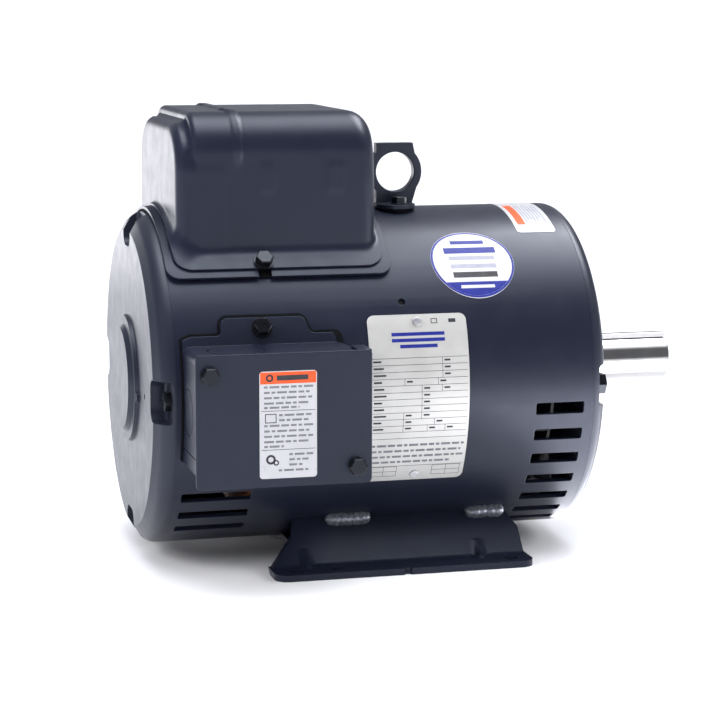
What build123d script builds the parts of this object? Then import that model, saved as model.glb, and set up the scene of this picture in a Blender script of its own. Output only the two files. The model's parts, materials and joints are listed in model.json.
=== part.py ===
"""Single-phase, open drip-proof electric motor on a rigid 184T base, with its capacitor cover on top.

Frame: millimetres. The origin is the centre of the four foot bolts on the mounting surface.
+X runs along the shaft towards the drive end, -Y is the terminal-box side and +Z is up.
"""
from build123d import *
import os
from math import cos, radians, sin, sqrt

os.makedirs("parts", exist_ok=True)

# ------------------------------------------------------------------ driving dimensions
shaft_height = 114.3            # mounting surface to shaft centre
foot_span_x = 139.7             # long bolt spacing along the shaft
foot_span_x_short = 114.3       # second bolt spacing, measured from the drive-end holes
foot_span_y = 190.5             # bolt spacing across the shaft
foot_hole_r = 5.2
shaft_r = 14.2875               # 1.125 in shaft extension
shaft_end_x = 209.55
shaft_shoulder_x = 139.7

shell_r = 106.4                 # outside of the rolled steel body
shell_t = 3.0
shell_bore_r = shell_r - shell_t
shell_ode_x = -145.3            # seam with the opposite-drive-end bracket
shell_de_x = 121.0              # seam with the drive-end bracket

slot_pitch = 9.5                # degrees between vent slots
slot_h = 7.6
sheet_t = 1.6                   # sheet steel of the box and covers
plate_t = 4.2                   # plate of the mounting rails

# ------------------------------------------------------------------ shared planes and shapes
shaft_axis = Axis((0, 0, shaft_height), (1, 0, 0))
upward_axis = Axis((0, 0, shaft_height), (-1, 0, 0))
profile_plane = Plane((0, 0, shaft_height), x_dir=(1, 0, 0), z_dir=(0, -1, 0))


def cross_plane(x):
    """Plane across the shaft at x. Local x is +Y, local y is +Z, extrusions go to the drive end."""
    return Plane((x, 0, shaft_height), x_dir=(0, 1, 0), z_dir=(1, 0, 0))


def front_plane(y):
    """Upright plane at y. Local x is +X, local y is +Z, extrusions go towards the box side."""
    return Plane((0, y, 0), x_dir=(1, 0, 0), z_dir=(0, -1, 0))


def on_skin(x, angle, radius):
    """Point on a cylinder about the shaft. The angle counts up from the terminal-box side."""
    turn = radians(angle)
    return (x, -radius * cos(turn), shaft_height + radius * sin(turn))


def skin_plane(x, angle, radius):
    """Plane tangent to that cylinder, with its normal outwards and local x along the shaft."""
    turn = radians(angle)
    return Plane(on_skin(x, angle, radius), x_dir=(1, 0, 0), z_dir=(0, -cos(turn), sin(turn)))


def turned(*points):
    """Solid of revolution about the shaft, from (x, radius) points."""
    with BuildPart() as piece:
        with BuildSketch(profile_plane):
            with BuildLine():
                Polyline(*points, close=True)
            make_face()
        revolve(axis=shaft_axis)
    return piece.part


def tube(x0, x1, inner, outer):
    """Plain ring about the shaft from x0 to x1."""
    return turned((x0, inner), (x1, inner), (x1, outer), (x0, outer))


def curved_sheet(x0, x1, angle0, angle1, inner, outer, corner):
    """Sheet wrapped round the shaft, with rounded corners."""
    turn = radians(angle0)
    section = Plane((0, 0, shaft_height), x_dir=(1, 0, 0), z_dir=(0, -sin(turn), -cos(turn)))
    with BuildPart() as sheet:
        with BuildSketch(section):
            with Locations(((x0 + x1) / 2, (inner + outer) / 2)):
                Rectangle(x1 - x0, outer - inner)
        revolve(axis=upward_axis, revolution_arc=angle1 - angle0)
        thin = outer - inner
        short_edges = sheet.edges().filter_by(lambda e: abs(e.length - thin) < 1e-3)
        fillet(short_edges, corner)
    return sheet.part


def screw(plane, across_flats, head_h, washer_r, washer_h, shank_r, shank_l):
    """Hex head standing on a plane, with its washer face and its shank below the plane."""
    with BuildPart() as piece:
        if washer_h > 0:
            with BuildSketch(plane):
                Circle(washer_r)
            extrude(amount=washer_h)
        with BuildSketch(plane.offset(washer_h)):
            RegularPolygon(across_flats / 2, 6, major_radius=False)
        extrude(amount=head_h)
        chamfer(piece.faces().sort_by(Axis(plane.origin, plane.z_dir))[-1].edges(), head_h * 0.12)
        with BuildSketch(plane):
            Circle(shank_r)
        extrude(amount=-shank_l)
    return piece.part


# ================================================================== rolled steel body
de_slot_x = (82.7, 114.3)
de_slot_angles = [-7.0 - slot_pitch * row for row in range(7)]
ode_slot_x = (-139.7, -95.8)
ode_slot_angles = [-36.0 - slot_pitch * row for row in range(3)]
box_lead_x = -89.0              # cable opening behind the terminal box
tab_screw_at = (-91.6, 23.6)
saddle_screw_at = (-85.1, 46.6)
drain_hole_at = (-1.2, 31.4)
plate_pin_x = 6.75
pin_head_r = 2.8
plate_pin_angles = (24.2, -29.6)
lug_x = 18.7
lug_bolt_y = -13.0
bolt_circle_r = 95.0
bolt_r = 3.1

with BuildPart() as frame_shell:
    with BuildSketch(cross_plane(shell_ode_x)):
        Circle(shell_r)
        Circle(shell_bore_r, mode=Mode.SUBTRACT)
    extrude(amount=shell_de_x - shell_ode_x)
    for span, angles in ((de_slot_x, de_slot_angles), (ode_slot_x, ode_slot_angles)):
        for angle in angles:
            for side_angle in (angle, 180 - angle):
                with BuildSketch(skin_plane(sum(span) / 2, side_angle, shell_r + 4)):
                    RectangleRounded(span[1] - span[0], slot_h, 1.2)
                extrude(amount=-10, mode=Mode.SUBTRACT)
    hole_list = [(box_lead_x, 0, 16.0), (-75, 90, 14.0), (*drain_hole_at, 2.35)]
    hole_list += [(*tab_screw_at, 2.35), (*saddle_screw_at, 2.35)]
    hole_list += [(saddle_screw_at[0], 180 - saddle_screw_at[1], 2.35)]
    hole_list += [(plate_pin_x, angle, 1.25) for angle in plate_pin_angles]
    for x, angle, radius in hole_list:
        with BuildSketch(skin_plane(x, angle, shell_r + 4)):
            Circle(radius)
        extrude(amount=-10, mode=Mode.SUBTRACT)
    with BuildSketch(Plane((lug_x, lug_bolt_y, shaft_height + 90))):
        Circle(4.0)
    extrude(amount=30, mode=Mode.SUBTRACT)
frame_shell.part.label = "frame_shell"
export_step(frame_shell.part, "parts/frame_shell.step")

# ================================================================== mounting base
rail_x = 84.0                   # half length of a rail
rail_edge_y = 106.0             # outer edge of the foot
wall_foot_y = 85.5              # where the wall rises from the foot
wall_top_y = 63.5               # the wall is drawn to just inside the body, then trimmed
wall_top_z = 31.6
web_z = 15.0                    # top of the flat part of the cross web
web_t = 3.0
web_x = 66.0                    # half length of the cross web

wall_run = wall_foot_y - wall_top_y
wall_rise = wall_top_z - plate_t
wall_len = sqrt(wall_run ** 2 + wall_rise ** 2)
inner_top_y = wall_top_y - plate_t * wall_rise / wall_len
inner_top_z = wall_top_z - plate_t * wall_run / wall_len
inner_foot_y = inner_top_y + inner_top_z * wall_run / wall_rise
dart_rise = 5.0                 # height of the pressed darts above the plate
dart_z = plate_t + dart_rise
dart_y = -(wall_foot_y - dart_rise * wall_run / wall_rise + 3.0)

with BuildPart() as front_rail:
    with BuildSketch(cross_plane(-rail_x)) as rail_section:
        with BuildLine():
            Polyline(
                (-rail_edge_y, -shaft_height),
                (-rail_edge_y, plate_t - shaft_height),
                (-wall_foot_y, plate_t - shaft_height),
                (-wall_top_y, wall_top_z - shaft_height),
                (-inner_top_y, inner_top_z - shaft_height),
                (-inner_foot_y, -shaft_height),
                close=True,
            )
        make_face()
        inside_bend = rail_section.vertices().sort_by_distance((-wall_foot_y, plate_t - shaft_height))[0]
        fillet(inside_bend, 5)
        outside_bend = rail_section.vertices().sort_by_distance((-inner_foot_y, -shaft_height))[0]
        fillet(outside_bend, 8)
    extrude(amount=2 * rail_x)
    # the wall is shorter than the foot, and its ends lean inwards
    with BuildSketch(front_plane(-50)):
        with BuildLine():
            Polyline((-90, plate_t), (-82.5, plate_t), (-67, 20), (-61.5, 40), (-90, 40), close=True)
        make_face()
        with BuildLine():
            Polyline((90, plate_t), (82.6, plate_t), (82, 19), (74.5, 30), (74.5, 40), (90, 40), close=True)
        make_face()
    extrude(amount=37.2, mode=Mode.SUBTRACT)
    # rounded outer corners of the foot
    upright_edges = front_rail.edges().filter_by(Axis.Z)
    fillet(upright_edges.filter_by_position(Axis.Y, -rail_edge_y - 0.1, -rail_edge_y + 0.1), 9)
    # bolt holes: both frame lengths share the drive-end holes, and a notch marks the middle
    with BuildSketch(Plane.XY):
        for hole_x in (-foot_span_x / 2, foot_span_x / 2 - foot_span_x_short, foot_span_x / 2):
            with Locations((hole_x, -foot_span_y / 2)):
                Circle(foot_hole_r)
        with Locations((0, -rail_edge_y)):
            Circle(2.2)
    extrude(amount=plate_t, mode=Mode.SUBTRACT)
    # pressed darts dent the wall just above the bend
    with Locations((-60, dart_y, dart_z), (53, dart_y, dart_z)):
        Sphere(5.0, mode=Mode.SUBTRACT)
    with BuildSketch(cross_plane(-100)):
        Circle(shell_r)
    extrude(amount=200, mode=Mode.SUBTRACT)
    with Locations((0, -90, -10)):
        Box(200, 60, 20, mode=Mode.SUBTRACT)

with BuildPart() as base_rails:
    add(front_rail.part)
    mirror(front_rail.part, about=Plane.XZ)
base_rails.part.label = "base_rails"
export_step(base_rails.part, "parts/base_rails.step")

# cross web: a cradle under the body that ties the two rails together
with BuildPart() as base_cradle:
    with BuildSketch(cross_plane(-web_x)):
        Circle(shell_r + web_t)
        with Locations((0, web_z - shaft_height - 50)):
            Rectangle(300, 100, mode=Mode.INTERSECT)
        with Locations((0, web_z - web_t / 2 - shaft_height)):
            Rectangle(2 * 74.5, web_t)
        Circle(shell_r, mode=Mode.SUBTRACT)
    extrude(amount=2 * web_x)
    add(base_rails.part, mode=Mode.SUBTRACT)
base_cradle.part.label = "base_cradle"
export_step(base_cradle.part, "parts/base_cradle.step")

# weld beads where the rails meet the body, each a run of overlapping ripples
bead_angle = -52.4
bead_runs = ((-39, -19), (53.5, 59.5), (63.5, 69.5))
with BuildPart() as weld_beads:
    for side_angle in (bead_angle, 180 - bead_angle):
        for start, stop in bead_runs:
            ripple_count = round((stop - start) / 2.0)
            for ripple in range(ripple_count + 1):
                x = start + ripple * (stop - start) / ripple_count
                with Locations(on_skin(x, side_angle, shell_r + 1.0)):
                    Sphere(5.2 + 0.45 * (ripple % 2))
    with BuildSketch(cross_plane(-100)):
        Circle(shell_r)
    extrude(amount=200, mode=Mode.SUBTRACT)
    add(base_rails.part, mode=Mode.SUBTRACT)
weld_beads.part.label = "weld_beads"
export_step(weld_beads.part, "parts/weld_beads.step")

# ================================================================== end brackets
rim_round = 12.5                # depth of the opposite-drive-end bracket's rim
rim_bend_r = 10.5               # its rounded part, which runs on as a short cone to a crisp edge
rim_bend_turn = radians(60)
rim_round_de = 9.0
ode_face_x = shell_ode_x - rim_round
rim_bend_end = (shell_ode_x - rim_bend_r * sin(rim_bend_turn),
                shell_r - rim_bend_r * (1 - cos(rim_bend_turn)))
rim_edge_r = rim_bend_end[1] - (rim_bend_end[0] - ode_face_x) * sin(rim_bend_turn) / cos(rim_bend_turn)
de_face_x = shell_de_x + rim_round_de
ode_pocket_x = -147.3           # floor of the bolt-head pockets
de_pocket_x = 124.5             # floor of the nut pockets
pocket_w = 26.0
pocket_r = 85.0                 # inner side of the pockets
pocket_corner = 8.0


def rim_pockets(x, depth):
    """Cutters for the four rounded recesses that open through a bracket's rim."""
    with BuildPart() as cutters:
        with BuildSketch(cross_plane(x)):
            with PolarLocations(pocket_r + 15, 4):
                RectangleRounded(30, pocket_w, pocket_corner)
        extrude(amount=depth)
        floor_edges = cutters.edges().filter_by(lambda e: abs(e.bounding_box().size.X) < 0.01)
        fillet(floor_edges.filter_by_position(Axis.X, x - 0.1, x + 0.1), 2.5)
    return cutters.part


# bearings: 6205 at the opposite drive end, 6206 at the drive end
ode_brg = {"bore": 12.5, "outer": 26.0, "x0": -156.2, "x1": -141.2}
de_brg = {"bore": 15.0, "outer": 31.0, "x0": 112.0, "x1": 128.0}

with BuildPart() as ode_bracket:
    with BuildSketch(profile_plane):
        with BuildLine():
            Polyline(
                rim_bend_end, (ode_face_x, rim_edge_r), (ode_face_x, 41),
                (-160.2, 40.2), (-160.2, 35), (-163.2, 32.4),
                (-163.2, 0), (-158.6, 0), (-158.6, 21), (-157.8, 21), (-157.8, ode_brg["outer"]),
                (-141, ode_brg["outer"]), (-141, 32), (-153.3, 34.5), (-153.3, 88), (-147, 98.5),
                (-140.3, 98.5), (-140.3, shell_bore_r), (shell_ode_x, shell_bore_r), (shell_ode_x, shell_r),
            )
            RadiusArc((shell_ode_x, shell_r), rim_bend_end, -rim_bend_r)
        make_face()
    revolve(axis=shaft_axis)
    # bosses behind the bolt pockets, and stiffening ribs
    with BuildSketch(cross_plane(-153.4)):
        with PolarLocations(89, 4):
            Rectangle(20, pocket_w + 8)
    extrude(amount=10.1)
    with BuildSketch(cross_plane(-153.4)):
        with PolarLocations(57, 8, start_angle=22.5):
            Rectangle(50, 4)
    extrude(amount=6.4)
    # posts for the starting-switch board
    with BuildSketch(cross_plane(-153.4)):
        with PolarLocations(56, 3, start_angle=-90):
            Circle(5)
    extrude(amount=14.8)
    add(rim_pockets(ode_pocket_x, -28), mode=Mode.SUBTRACT)
    with BuildSketch(cross_plane(-150)):
        with PolarLocations(bolt_circle_r, 4):
            Circle(bolt_r + 0.3)
    extrude(amount=12, mode=Mode.SUBTRACT)
    # gate mark on the boss and one small drilled hole in the face
    with BuildSketch(cross_plane(ode_face_x - 2.0)):
        with Locations((-41.5, -6)):
            Circle(3)
    extrude(amount=2.2)
    with BuildSketch(cross_plane(ode_face_x)):
        with Locations((-63, -2)):
            Circle(1.8)
    extrude(amount=3, mode=Mode.SUBTRACT)
ode_bracket.part.label = "ode_bracket"
export_step(ode_bracket.part, "parts/ode_bracket.step")

with BuildPart() as de_bracket:
    with BuildSketch(profile_plane):
        with BuildLine():
            Polyline(
                (de_face_x, shell_r - rim_round_de), (de_face_x, 44), (134, 41), (134, 36), (137, 34),
                (137, 16.4), (de_brg["x1"], 16.4), (de_brg["x1"], de_brg["outer"]),
                (de_brg["x0"], de_brg["outer"]), (de_brg["x0"], 41), (125.5, 43), (125.5, 88), (122.5, 98.5),
                (116, 98.5), (116, shell_bore_r), (shell_de_x, shell_bore_r), (shell_de_x, shell_r),
            )
            RadiusArc((shell_de_x, shell_r), (de_face_x, shell_r - rim_round_de), rim_round_de)
        make_face()
    revolve(axis=shaft_axis)
    with BuildSketch(cross_plane(125.6)):
        with PolarLocations(89, 4):
            Rectangle(20, pocket_w + 8)
    extrude(amount=-8)
    with BuildSketch(cross_plane(125.6)):
        with PolarLocations(61, 8, start_angle=22.5):
            Rectangle(42, 4)
    extrude(amount=-6)
    add(rim_pockets(de_pocket_x, 28), mode=Mode.SUBTRACT)
    with BuildSketch(cross_plane(112)):
        with PolarLocations(bolt_circle_r, 4):
            Circle(bolt_r + 0.3)
    extrude(amount=14, mode=Mode.SUBTRACT)
    # tapped holes for the bearing retainer
    with BuildSketch(cross_plane(de_brg["x0"])):
        with PolarLocations(36, 3, start_angle=90):
            Circle(2.05)
    extrude(amount=9, mode=Mode.SUBTRACT)
de_bracket.part.label = "de_bracket"
export_step(de_bracket.part, "parts/de_bracket.step")

with BuildPart() as through_bolts:
    for turn in range(4):
        place = skin_plane(0, 90 * turn, bolt_circle_r).origin
        add(screw(Plane((ode_pocket_x, place.Y, place.Z), x_dir=(0, 1, 0), z_dir=(-1, 0, 0)),
                  11.1, 4.4, 0, 0, bolt_r, 132.5 - ode_pocket_x))
through_bolts.part.label = "through_bolts"
export_step(through_bolts.part, "parts/through_bolts.step")

nut_h = 6.8
with BuildPart() as through_bolt_nuts:
    with BuildSketch(cross_plane(de_pocket_x)):
        with PolarLocations(bolt_circle_r, 4):
            RegularPolygon(6.2, 6, major_radius=False)
    extrude(amount=nut_h)
    chamfer(through_bolt_nuts.edges().filter_by(lambda e: abs(e.center().X - de_pocket_x - nut_h) < 0.01), 0.6)
    with BuildSketch(cross_plane(de_pocket_x)):
        with PolarLocations(bolt_circle_r, 4):
            Circle(bolt_r)
    extrude(amount=nut_h + 1, mode=Mode.SUBTRACT)
through_bolt_nuts.part.label = "through_bolt_nuts"
export_step(through_bolt_nuts.part, "parts/through_bolt_nuts.step")

# ================================================================== stator
core_x0 = -62.0
core_x1 = 46.0
air_gap = 0.5
rotor_r = 59.5
stator_bore_r = rotor_r + air_gap
slot_count = 36

with BuildPart() as stator_core:
    add(tube(core_x0, core_x1, stator_bore_r, shell_bore_r))
    with BuildSketch(cross_plane(core_x0)):
        with PolarLocations(75, slot_count):
            SlotOverall(20, 5.6)
        with PolarLocations(63, slot_count):
            Rectangle(8, 2)
        with PolarLocations(98, 4):
            Rectangle(14, 9)
    extrude(amount=core_x1 - core_x0, mode=Mode.SUBTRACT)
stator_core.part.label = "stator_core"
export_step(stator_core.part, "parts/stator_core.step")

# windings: conductors in the slots, gathered into a moulded-looking bundle at each end
end_turn_len = 31.0
with BuildPart() as stator_windings:
    with BuildSketch(cross_plane(core_x0 - 1)):
        with PolarLocations(75, slot_count):
            SlotOverall(19.6, 5.2)
    extrude(amount=core_x1 - core_x0 + 2)
    for x in (core_x0 - 1 - end_turn_len / 2, core_x1 + 1 + end_turn_len / 2):
        with BuildSketch(profile_plane):
            with Locations((x, 77.5)):
                RectangleRounded(end_turn_len, 28, 11)
        revolve(axis=shaft_axis)
stator_windings.part.label = "stator_windings"
export_step(stator_windings.part, "parts/stator_windings.step")

# ================================================================== rotor
shaft_body_r = 17.5
core_seat_r = 20.0
key_w = 6.35                    # square key
key_len = 69.1
key_mid_x = shaft_end_x - key_len / 2
key_floor_r = 10.75             # bottom of the keyway above the shaft's centre
with BuildPart() as shaft:
    add(turned(
        (-157, 0), (-157, 11.5), (-156, 12.5), (ode_brg["x1"], 12.5), (ode_brg["x1"], 15), (-84, 15), (-84, 18),
        (core_x0, 18), (core_x0, core_seat_r), (core_x1, core_seat_r), (core_x1, shaft_body_r),
        (de_brg["x0"], shaft_body_r), (de_brg["x0"], 15), (shaft_shoulder_x, 15), (shaft_shoulder_x, shaft_r),
        (shaft_end_x - 1, shaft_r), (shaft_end_x, shaft_r - 1), (shaft_end_x, 0),
    ))
    # keyway, open at the end of the shaft
    with BuildSketch(Plane((key_mid_x, 0, shaft_height + key_floor_r))):
        Rectangle(key_len, key_w)
    extrude(amount=10, mode=Mode.SUBTRACT)
shaft.part.label = "shaft"
export_step(shaft.part, "parts/shaft.step")

with BuildPart() as shaft_key:
    with Locations((key_mid_x, 0, shaft_height + key_floor_r + key_w / 2)):
        Box(key_len, key_w, key_w)
    chamfer(shaft_key.edges().filter_by(Axis.X).group_by(Axis.Z)[-1], 0.4)
shaft_key.part.label = "shaft_key"
export_step(shaft_key.part, "parts/shaft_key.step")

bar_count = 30
bar_r = 3.4
bar_circle_r = 54.6
with BuildPart() as rotor_core:
    add(tube(core_x0, core_x1, core_seat_r, rotor_r))
    with BuildSketch(cross_plane(core_x0)):
        with PolarLocations(bar_circle_r, bar_count):
            Circle(bar_r)
    extrude(amount=core_x1 - core_x0, mode=Mode.SUBTRACT)
rotor_core.part.label = "rotor_core"
export_step(rotor_core.part, "parts/rotor_core.step")

# cast cage: bars, end rings and their cooling fins
ring_t = 10.0
fin_len = 8.0
with BuildPart() as rotor_cage:
    with BuildSketch(cross_plane(core_x0)):
        with PolarLocations(bar_circle_r, bar_count):
            Circle(bar_r)
    extrude(amount=core_x1 - core_x0)
    add(tube(core_x0 - ring_t, core_x0, 44, rotor_r - 0.5))
    add(tube(core_x1, core_x1 + ring_t, 44, rotor_r - 0.5))
    with BuildSketch(cross_plane(core_x0 - ring_t)):
        with PolarLocations(51.5, 10):
            Rectangle(13, 3)
    extrude(amount=-fin_len)
    with BuildSketch(cross_plane(core_x1 + ring_t)):
        with PolarLocations(51.5, 10):
            Rectangle(13, 3)
    extrude(amount=fin_len)
rotor_cage.part.label = "rotor_cage"
export_step(rotor_cage.part, "parts/rotor_cage.step")

# fan inside the drive-end bracket, which throws air out of the body slots
fan_x0 = 84.0
fan_x1 = 104.0
with BuildPart() as cooling_fan:
    add(tube(fan_x0, fan_x1, shaft_body_r, 25))
    add(tube(fan_x1 - 2, fan_x1, 24, 80))
    with BuildSketch(cross_plane(fan_x0)):
        with PolarLocations(52, 9):
            Rectangle(56, 2.4, rotation=12)
    extrude(amount=fan_x1 - fan_x0)
    add(tube(fan_x0 - 1, fan_x1 + 1, 1, shaft_body_r), mode=Mode.SUBTRACT)
cooling_fan.part.label = "cooling_fan"
export_step(cooling_fan.part, "parts/cooling_fan.step")

with BuildPart() as air_baffle:
    add(turned((71, shell_bore_r - 1.2), (79, shell_bore_r - 1.2), (79, 66), (80.2, 66), (80.2, shell_bore_r),
               (71, shell_bore_r)))
    with BuildSketch(cross_plane(70)):
        with PolarLocations(bolt_circle_r, 4):
            Circle(bolt_r + 1)
    extrude(amount=12, mode=Mode.SUBTRACT)
air_baffle.part.label = "air_baffle"
export_step(air_baffle.part, "parts/air_baffle.step")

# ================================================================== bearings
ball_gap = 0.04


def race_groove(bearing, ball_r, pitch_r):
    """Ball groove of a bearing, as a ring to cut from both races."""
    centre_x = (bearing["x0"] + bearing["x1"]) / 2
    with BuildPart() as groove:
        with BuildSketch(profile_plane):
            with Locations((centre_x, pitch_r)):
                Circle(ball_r + ball_gap)
        revolve(axis=shaft_axis)
    return groove.part


def outer_race(bearing, ball_r, pitch_r):
    """Outer ring of a deep-groove bearing."""
    with BuildPart() as race:
        add(tube(bearing["x0"], bearing["x1"], pitch_r + ball_r * 0.55, bearing["outer"]))
        add(race_groove(bearing, ball_r, pitch_r), mode=Mode.SUBTRACT)
    return race.part


def inner_race(bearing, ball_r, pitch_r):
    """Inner ring of a deep-groove bearing."""
    with BuildPart() as race:
        add(tube(bearing["x0"], bearing["x1"], bearing["bore"], pitch_r - ball_r * 0.55))
        add(race_groove(bearing, ball_r, pitch_r), mode=Mode.SUBTRACT)
    return race.part


def bearing_balls(bearing, ball_r, pitch_r, count):
    """The balls, as separate solids."""
    centre_x = (bearing["x0"] + bearing["x1"]) / 2
    with BuildPart() as balls:
        for turn in range(count):
            with Locations(on_skin(centre_x, turn * 360 / count, pitch_r)):
                Sphere(ball_r)
    return balls.part


def ball_cage(bearing, ball_r, pitch_r, count):
    """Cage ring that spaces the balls."""
    centre_x = (bearing["x0"] + bearing["x1"]) / 2
    with BuildPart() as cage:
        add(tube(centre_x - ball_r - 1.4, centre_x + ball_r + 1.4, pitch_r - 1.2, pitch_r + 1.2))
        for turn in range(count):
            with BuildSketch(skin_plane(centre_x, turn * 360 / count, pitch_r + 4)):
                Circle(ball_r + ball_gap)
            extrude(amount=-8, mode=Mode.SUBTRACT)
    return cage.part


de_ball = (4.76, 23.0, 9)       # ball radius, pitch radius, count
ode_ball = (3.97, 19.25, 9)

with BuildPart() as de_bearing_outer:
    add(outer_race(de_brg, *de_ball[:2]))
de_bearing_outer.part.label = "de_bearing_outer"
export_step(de_bearing_outer.part, "parts/de_bearing_outer.step")

with BuildPart() as de_bearing_inner:
    add(inner_race(de_brg, *de_ball[:2]))
de_bearing_inner.part.label = "de_bearing_inner"
export_step(de_bearing_inner.part, "parts/de_bearing_inner.step")

with BuildPart() as de_bearing_balls:
    add(bearing_balls(de_brg, *de_ball))
de_bearing_balls.part.label = "de_bearing_balls"
export_step(de_bearing_balls.part, "parts/de_bearing_balls.step")

with BuildPart() as de_bearing_cage:
    add(ball_cage(de_brg, *de_ball))
de_bearing_cage.part.label = "de_bearing_cage"
export_step(de_bearing_cage.part, "parts/de_bearing_cage.step")

with BuildPart() as ode_bearing_outer:
    add(outer_race(ode_brg, *ode_ball[:2]))
ode_bearing_outer.part.label = "ode_bearing_outer"
export_step(ode_bearing_outer.part, "parts/ode_bearing_outer.step")

with BuildPart() as ode_bearing_inner:
    add(inner_race(ode_brg, *ode_ball[:2]))
ode_bearing_inner.part.label = "ode_bearing_inner"
export_step(ode_bearing_inner.part, "parts/ode_bearing_inner.step")

with BuildPart() as ode_bearing_balls:
    add(bearing_balls(ode_brg, *ode_ball))
ode_bearing_balls.part.label = "ode_bearing_balls"
export_step(ode_bearing_balls.part, "parts/ode_bearing_balls.step")

with BuildPart() as ode_bearing_cage:
    add(ball_cage(ode_brg, *ode_ball))
ode_bearing_cage.part.label = "ode_bearing_cage"
export_step(ode_bearing_cage.part, "parts/ode_bearing_cage.step")

with BuildPart() as wave_washer:
    add(tube(-157.8, ode_brg["x0"], 21.5, 25.9))
wave_washer.part.label = "wave_washer"
export_step(wave_washer.part, "parts/wave_washer.step")

retainer_x = de_brg["x0"] - 2.5
with BuildPart() as bearing_retainer:
    add(tube(retainer_x, de_brg["x0"], 27.5, 40.5))
    with BuildSketch(cross_plane(retainer_x)):
        with PolarLocations(36, 3, start_angle=90):
            Circle(2.05)
    extrude(amount=3, mode=Mode.SUBTRACT)
bearing_retainer.part.label = "bearing_retainer"
export_step(bearing_retainer.part, "parts/bearing_retainer.step")

with BuildPart() as retainer_screws:
    for turn in range(3):
        seat = on_skin(retainer_x, 90 + 120 * turn, 36)
        add(screw(Plane(seat, x_dir=(0, 1, 0), z_dir=(-1, 0, 0)), 6, 2.2, 0, 0, 2.0, 9.5))
retainer_screws.part.label = "retainer_screws"
export_step(retainer_screws.part, "parts/retainer_screws.step")

# rubber slinger that turns with the shaft just outside the bracket
with BuildPart() as shaft_slinger:
    add(turned((137.3, 15), (137.3, 21), (138.2, 21), (139.7, 17), (139.7, 15)))
shaft_slinger.part.label = "shaft_slinger"
export_step(shaft_slinger.part, "parts/shaft_slinger.step")

# ================================================================== centrifugal starting switch
hub_x = -84.0                   # the governor plate seats on the shaft's step
pivot_x = -100.25               # hinge line of the weights
pivot_r = 30.0
pin_r = 1.5
pin_gap = 0.05
sleeve_bore_r = 15.05
sleeve_face_x = -106.0

with BuildPart() as governor_hub:
    add(tube(hub_x - 2, hub_x, 15, 30))
    for side in (-1, 1):
        with BuildSketch(front_plane(10.5)):
            with BuildLine():
                Polyline(
                    (-103, shaft_height + side * 25.5), (-103, shaft_height + side * 34),
                    (hub_x, shaft_height + side * 34), (hub_x, shaft_height + side * 20),
                    (hub_x - 2, shaft_height + side * 20), (hub_x - 2, shaft_height + side * 25.5),
                    close=True,
                )
            make_face()
        extrude(amount=21)
    with BuildSketch(front_plane(8)):
        with Locations((hub_x - 2 - 10, shaft_height + 32), (hub_x - 2 - 10, shaft_height - 32)):
            Rectangle(20, 24)
    extrude(amount=16, mode=Mode.SUBTRACT)
    with BuildSketch(front_plane(12)):
        with Locations((pivot_x, shaft_height + pivot_r), (pivot_x, shaft_height - pivot_r)):
            Circle(pin_r + pin_gap)
    extrude(amount=24, mode=Mode.SUBTRACT)
governor_hub.part.label = "governor_hub"
export_step(governor_hub.part, "parts/governor_hub.step")


def governor_weight(side):
    """One flyweight: its block, the finger that pulls the sleeve, and its pin. Side is 1 above."""
    with BuildPart() as weight:
        with BuildSketch(front_plane(7)):
            with BuildLine():
                Polyline(
                    (pivot_x - 2.5, shaft_height + side * 27), (pivot_x - 2.5, shaft_height + side * 34),
                    (pivot_x + 1, shaft_height + side * 37), (-87.5, shaft_height + side * 37),
                    (-87.5, shaft_height + side * 27), close=True,
                )
            make_face()
        extrude(amount=14)
        with Locations((pivot_x, 0, shaft_height + side * 23.5)):
            Box(2.5, 8, 9)
        with BuildSketch(front_plane(11)):
            with Locations((pivot_x, shaft_height + side * pivot_r)):
                Circle(pin_r)
        extrude(amount=22)
    return weight.part


with BuildPart() as governor_weight_upper:
    add(governor_weight(1))
governor_weight_upper.part.label = "governor_weight_upper"
export_step(governor_weight_upper.part, "parts/governor_weight_upper.step")

with BuildPart() as governor_weight_lower:
    add(governor_weight(-1))
governor_weight_lower.part.label = "governor_weight_lower"
export_step(governor_weight_lower.part, "parts/governor_weight_lower.step")

with BuildPart() as governor_sleeve:
    add(turned(
        (sleeve_face_x, sleeve_bore_r), (sleeve_face_x, 22.5), (-103, 22.5), (-103, 17.5), (-97.5, 17.5),
        (-97.5, 20.5), (-96, 20.5), (-96, sleeve_bore_r),
    ))
governor_sleeve.part.label = "governor_sleeve"
export_step(governor_sleeve.part, "parts/governor_sleeve.step")

spring_wire_r = 0.55
spring_r = 16.8
spring_x0 = -96 + spring_wire_r
spring_len = hub_x - 2 - spring_wire_r - spring_x0
with BuildPart() as governor_spring:
    with BuildLine():
        coil = Helix(spring_len / 4, spring_len, spring_r, center=(spring_x0, 0, shaft_height), direction=(1, 0, 0))
    with BuildSketch(Plane(coil @ 0, z_dir=coil % 0)):
        Circle(spring_wire_r)
    sweep(path=coil, is_frenet=True)
governor_spring.part.label = "governor_spring"
export_step(governor_spring.part, "parts/governor_spring.step")

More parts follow.
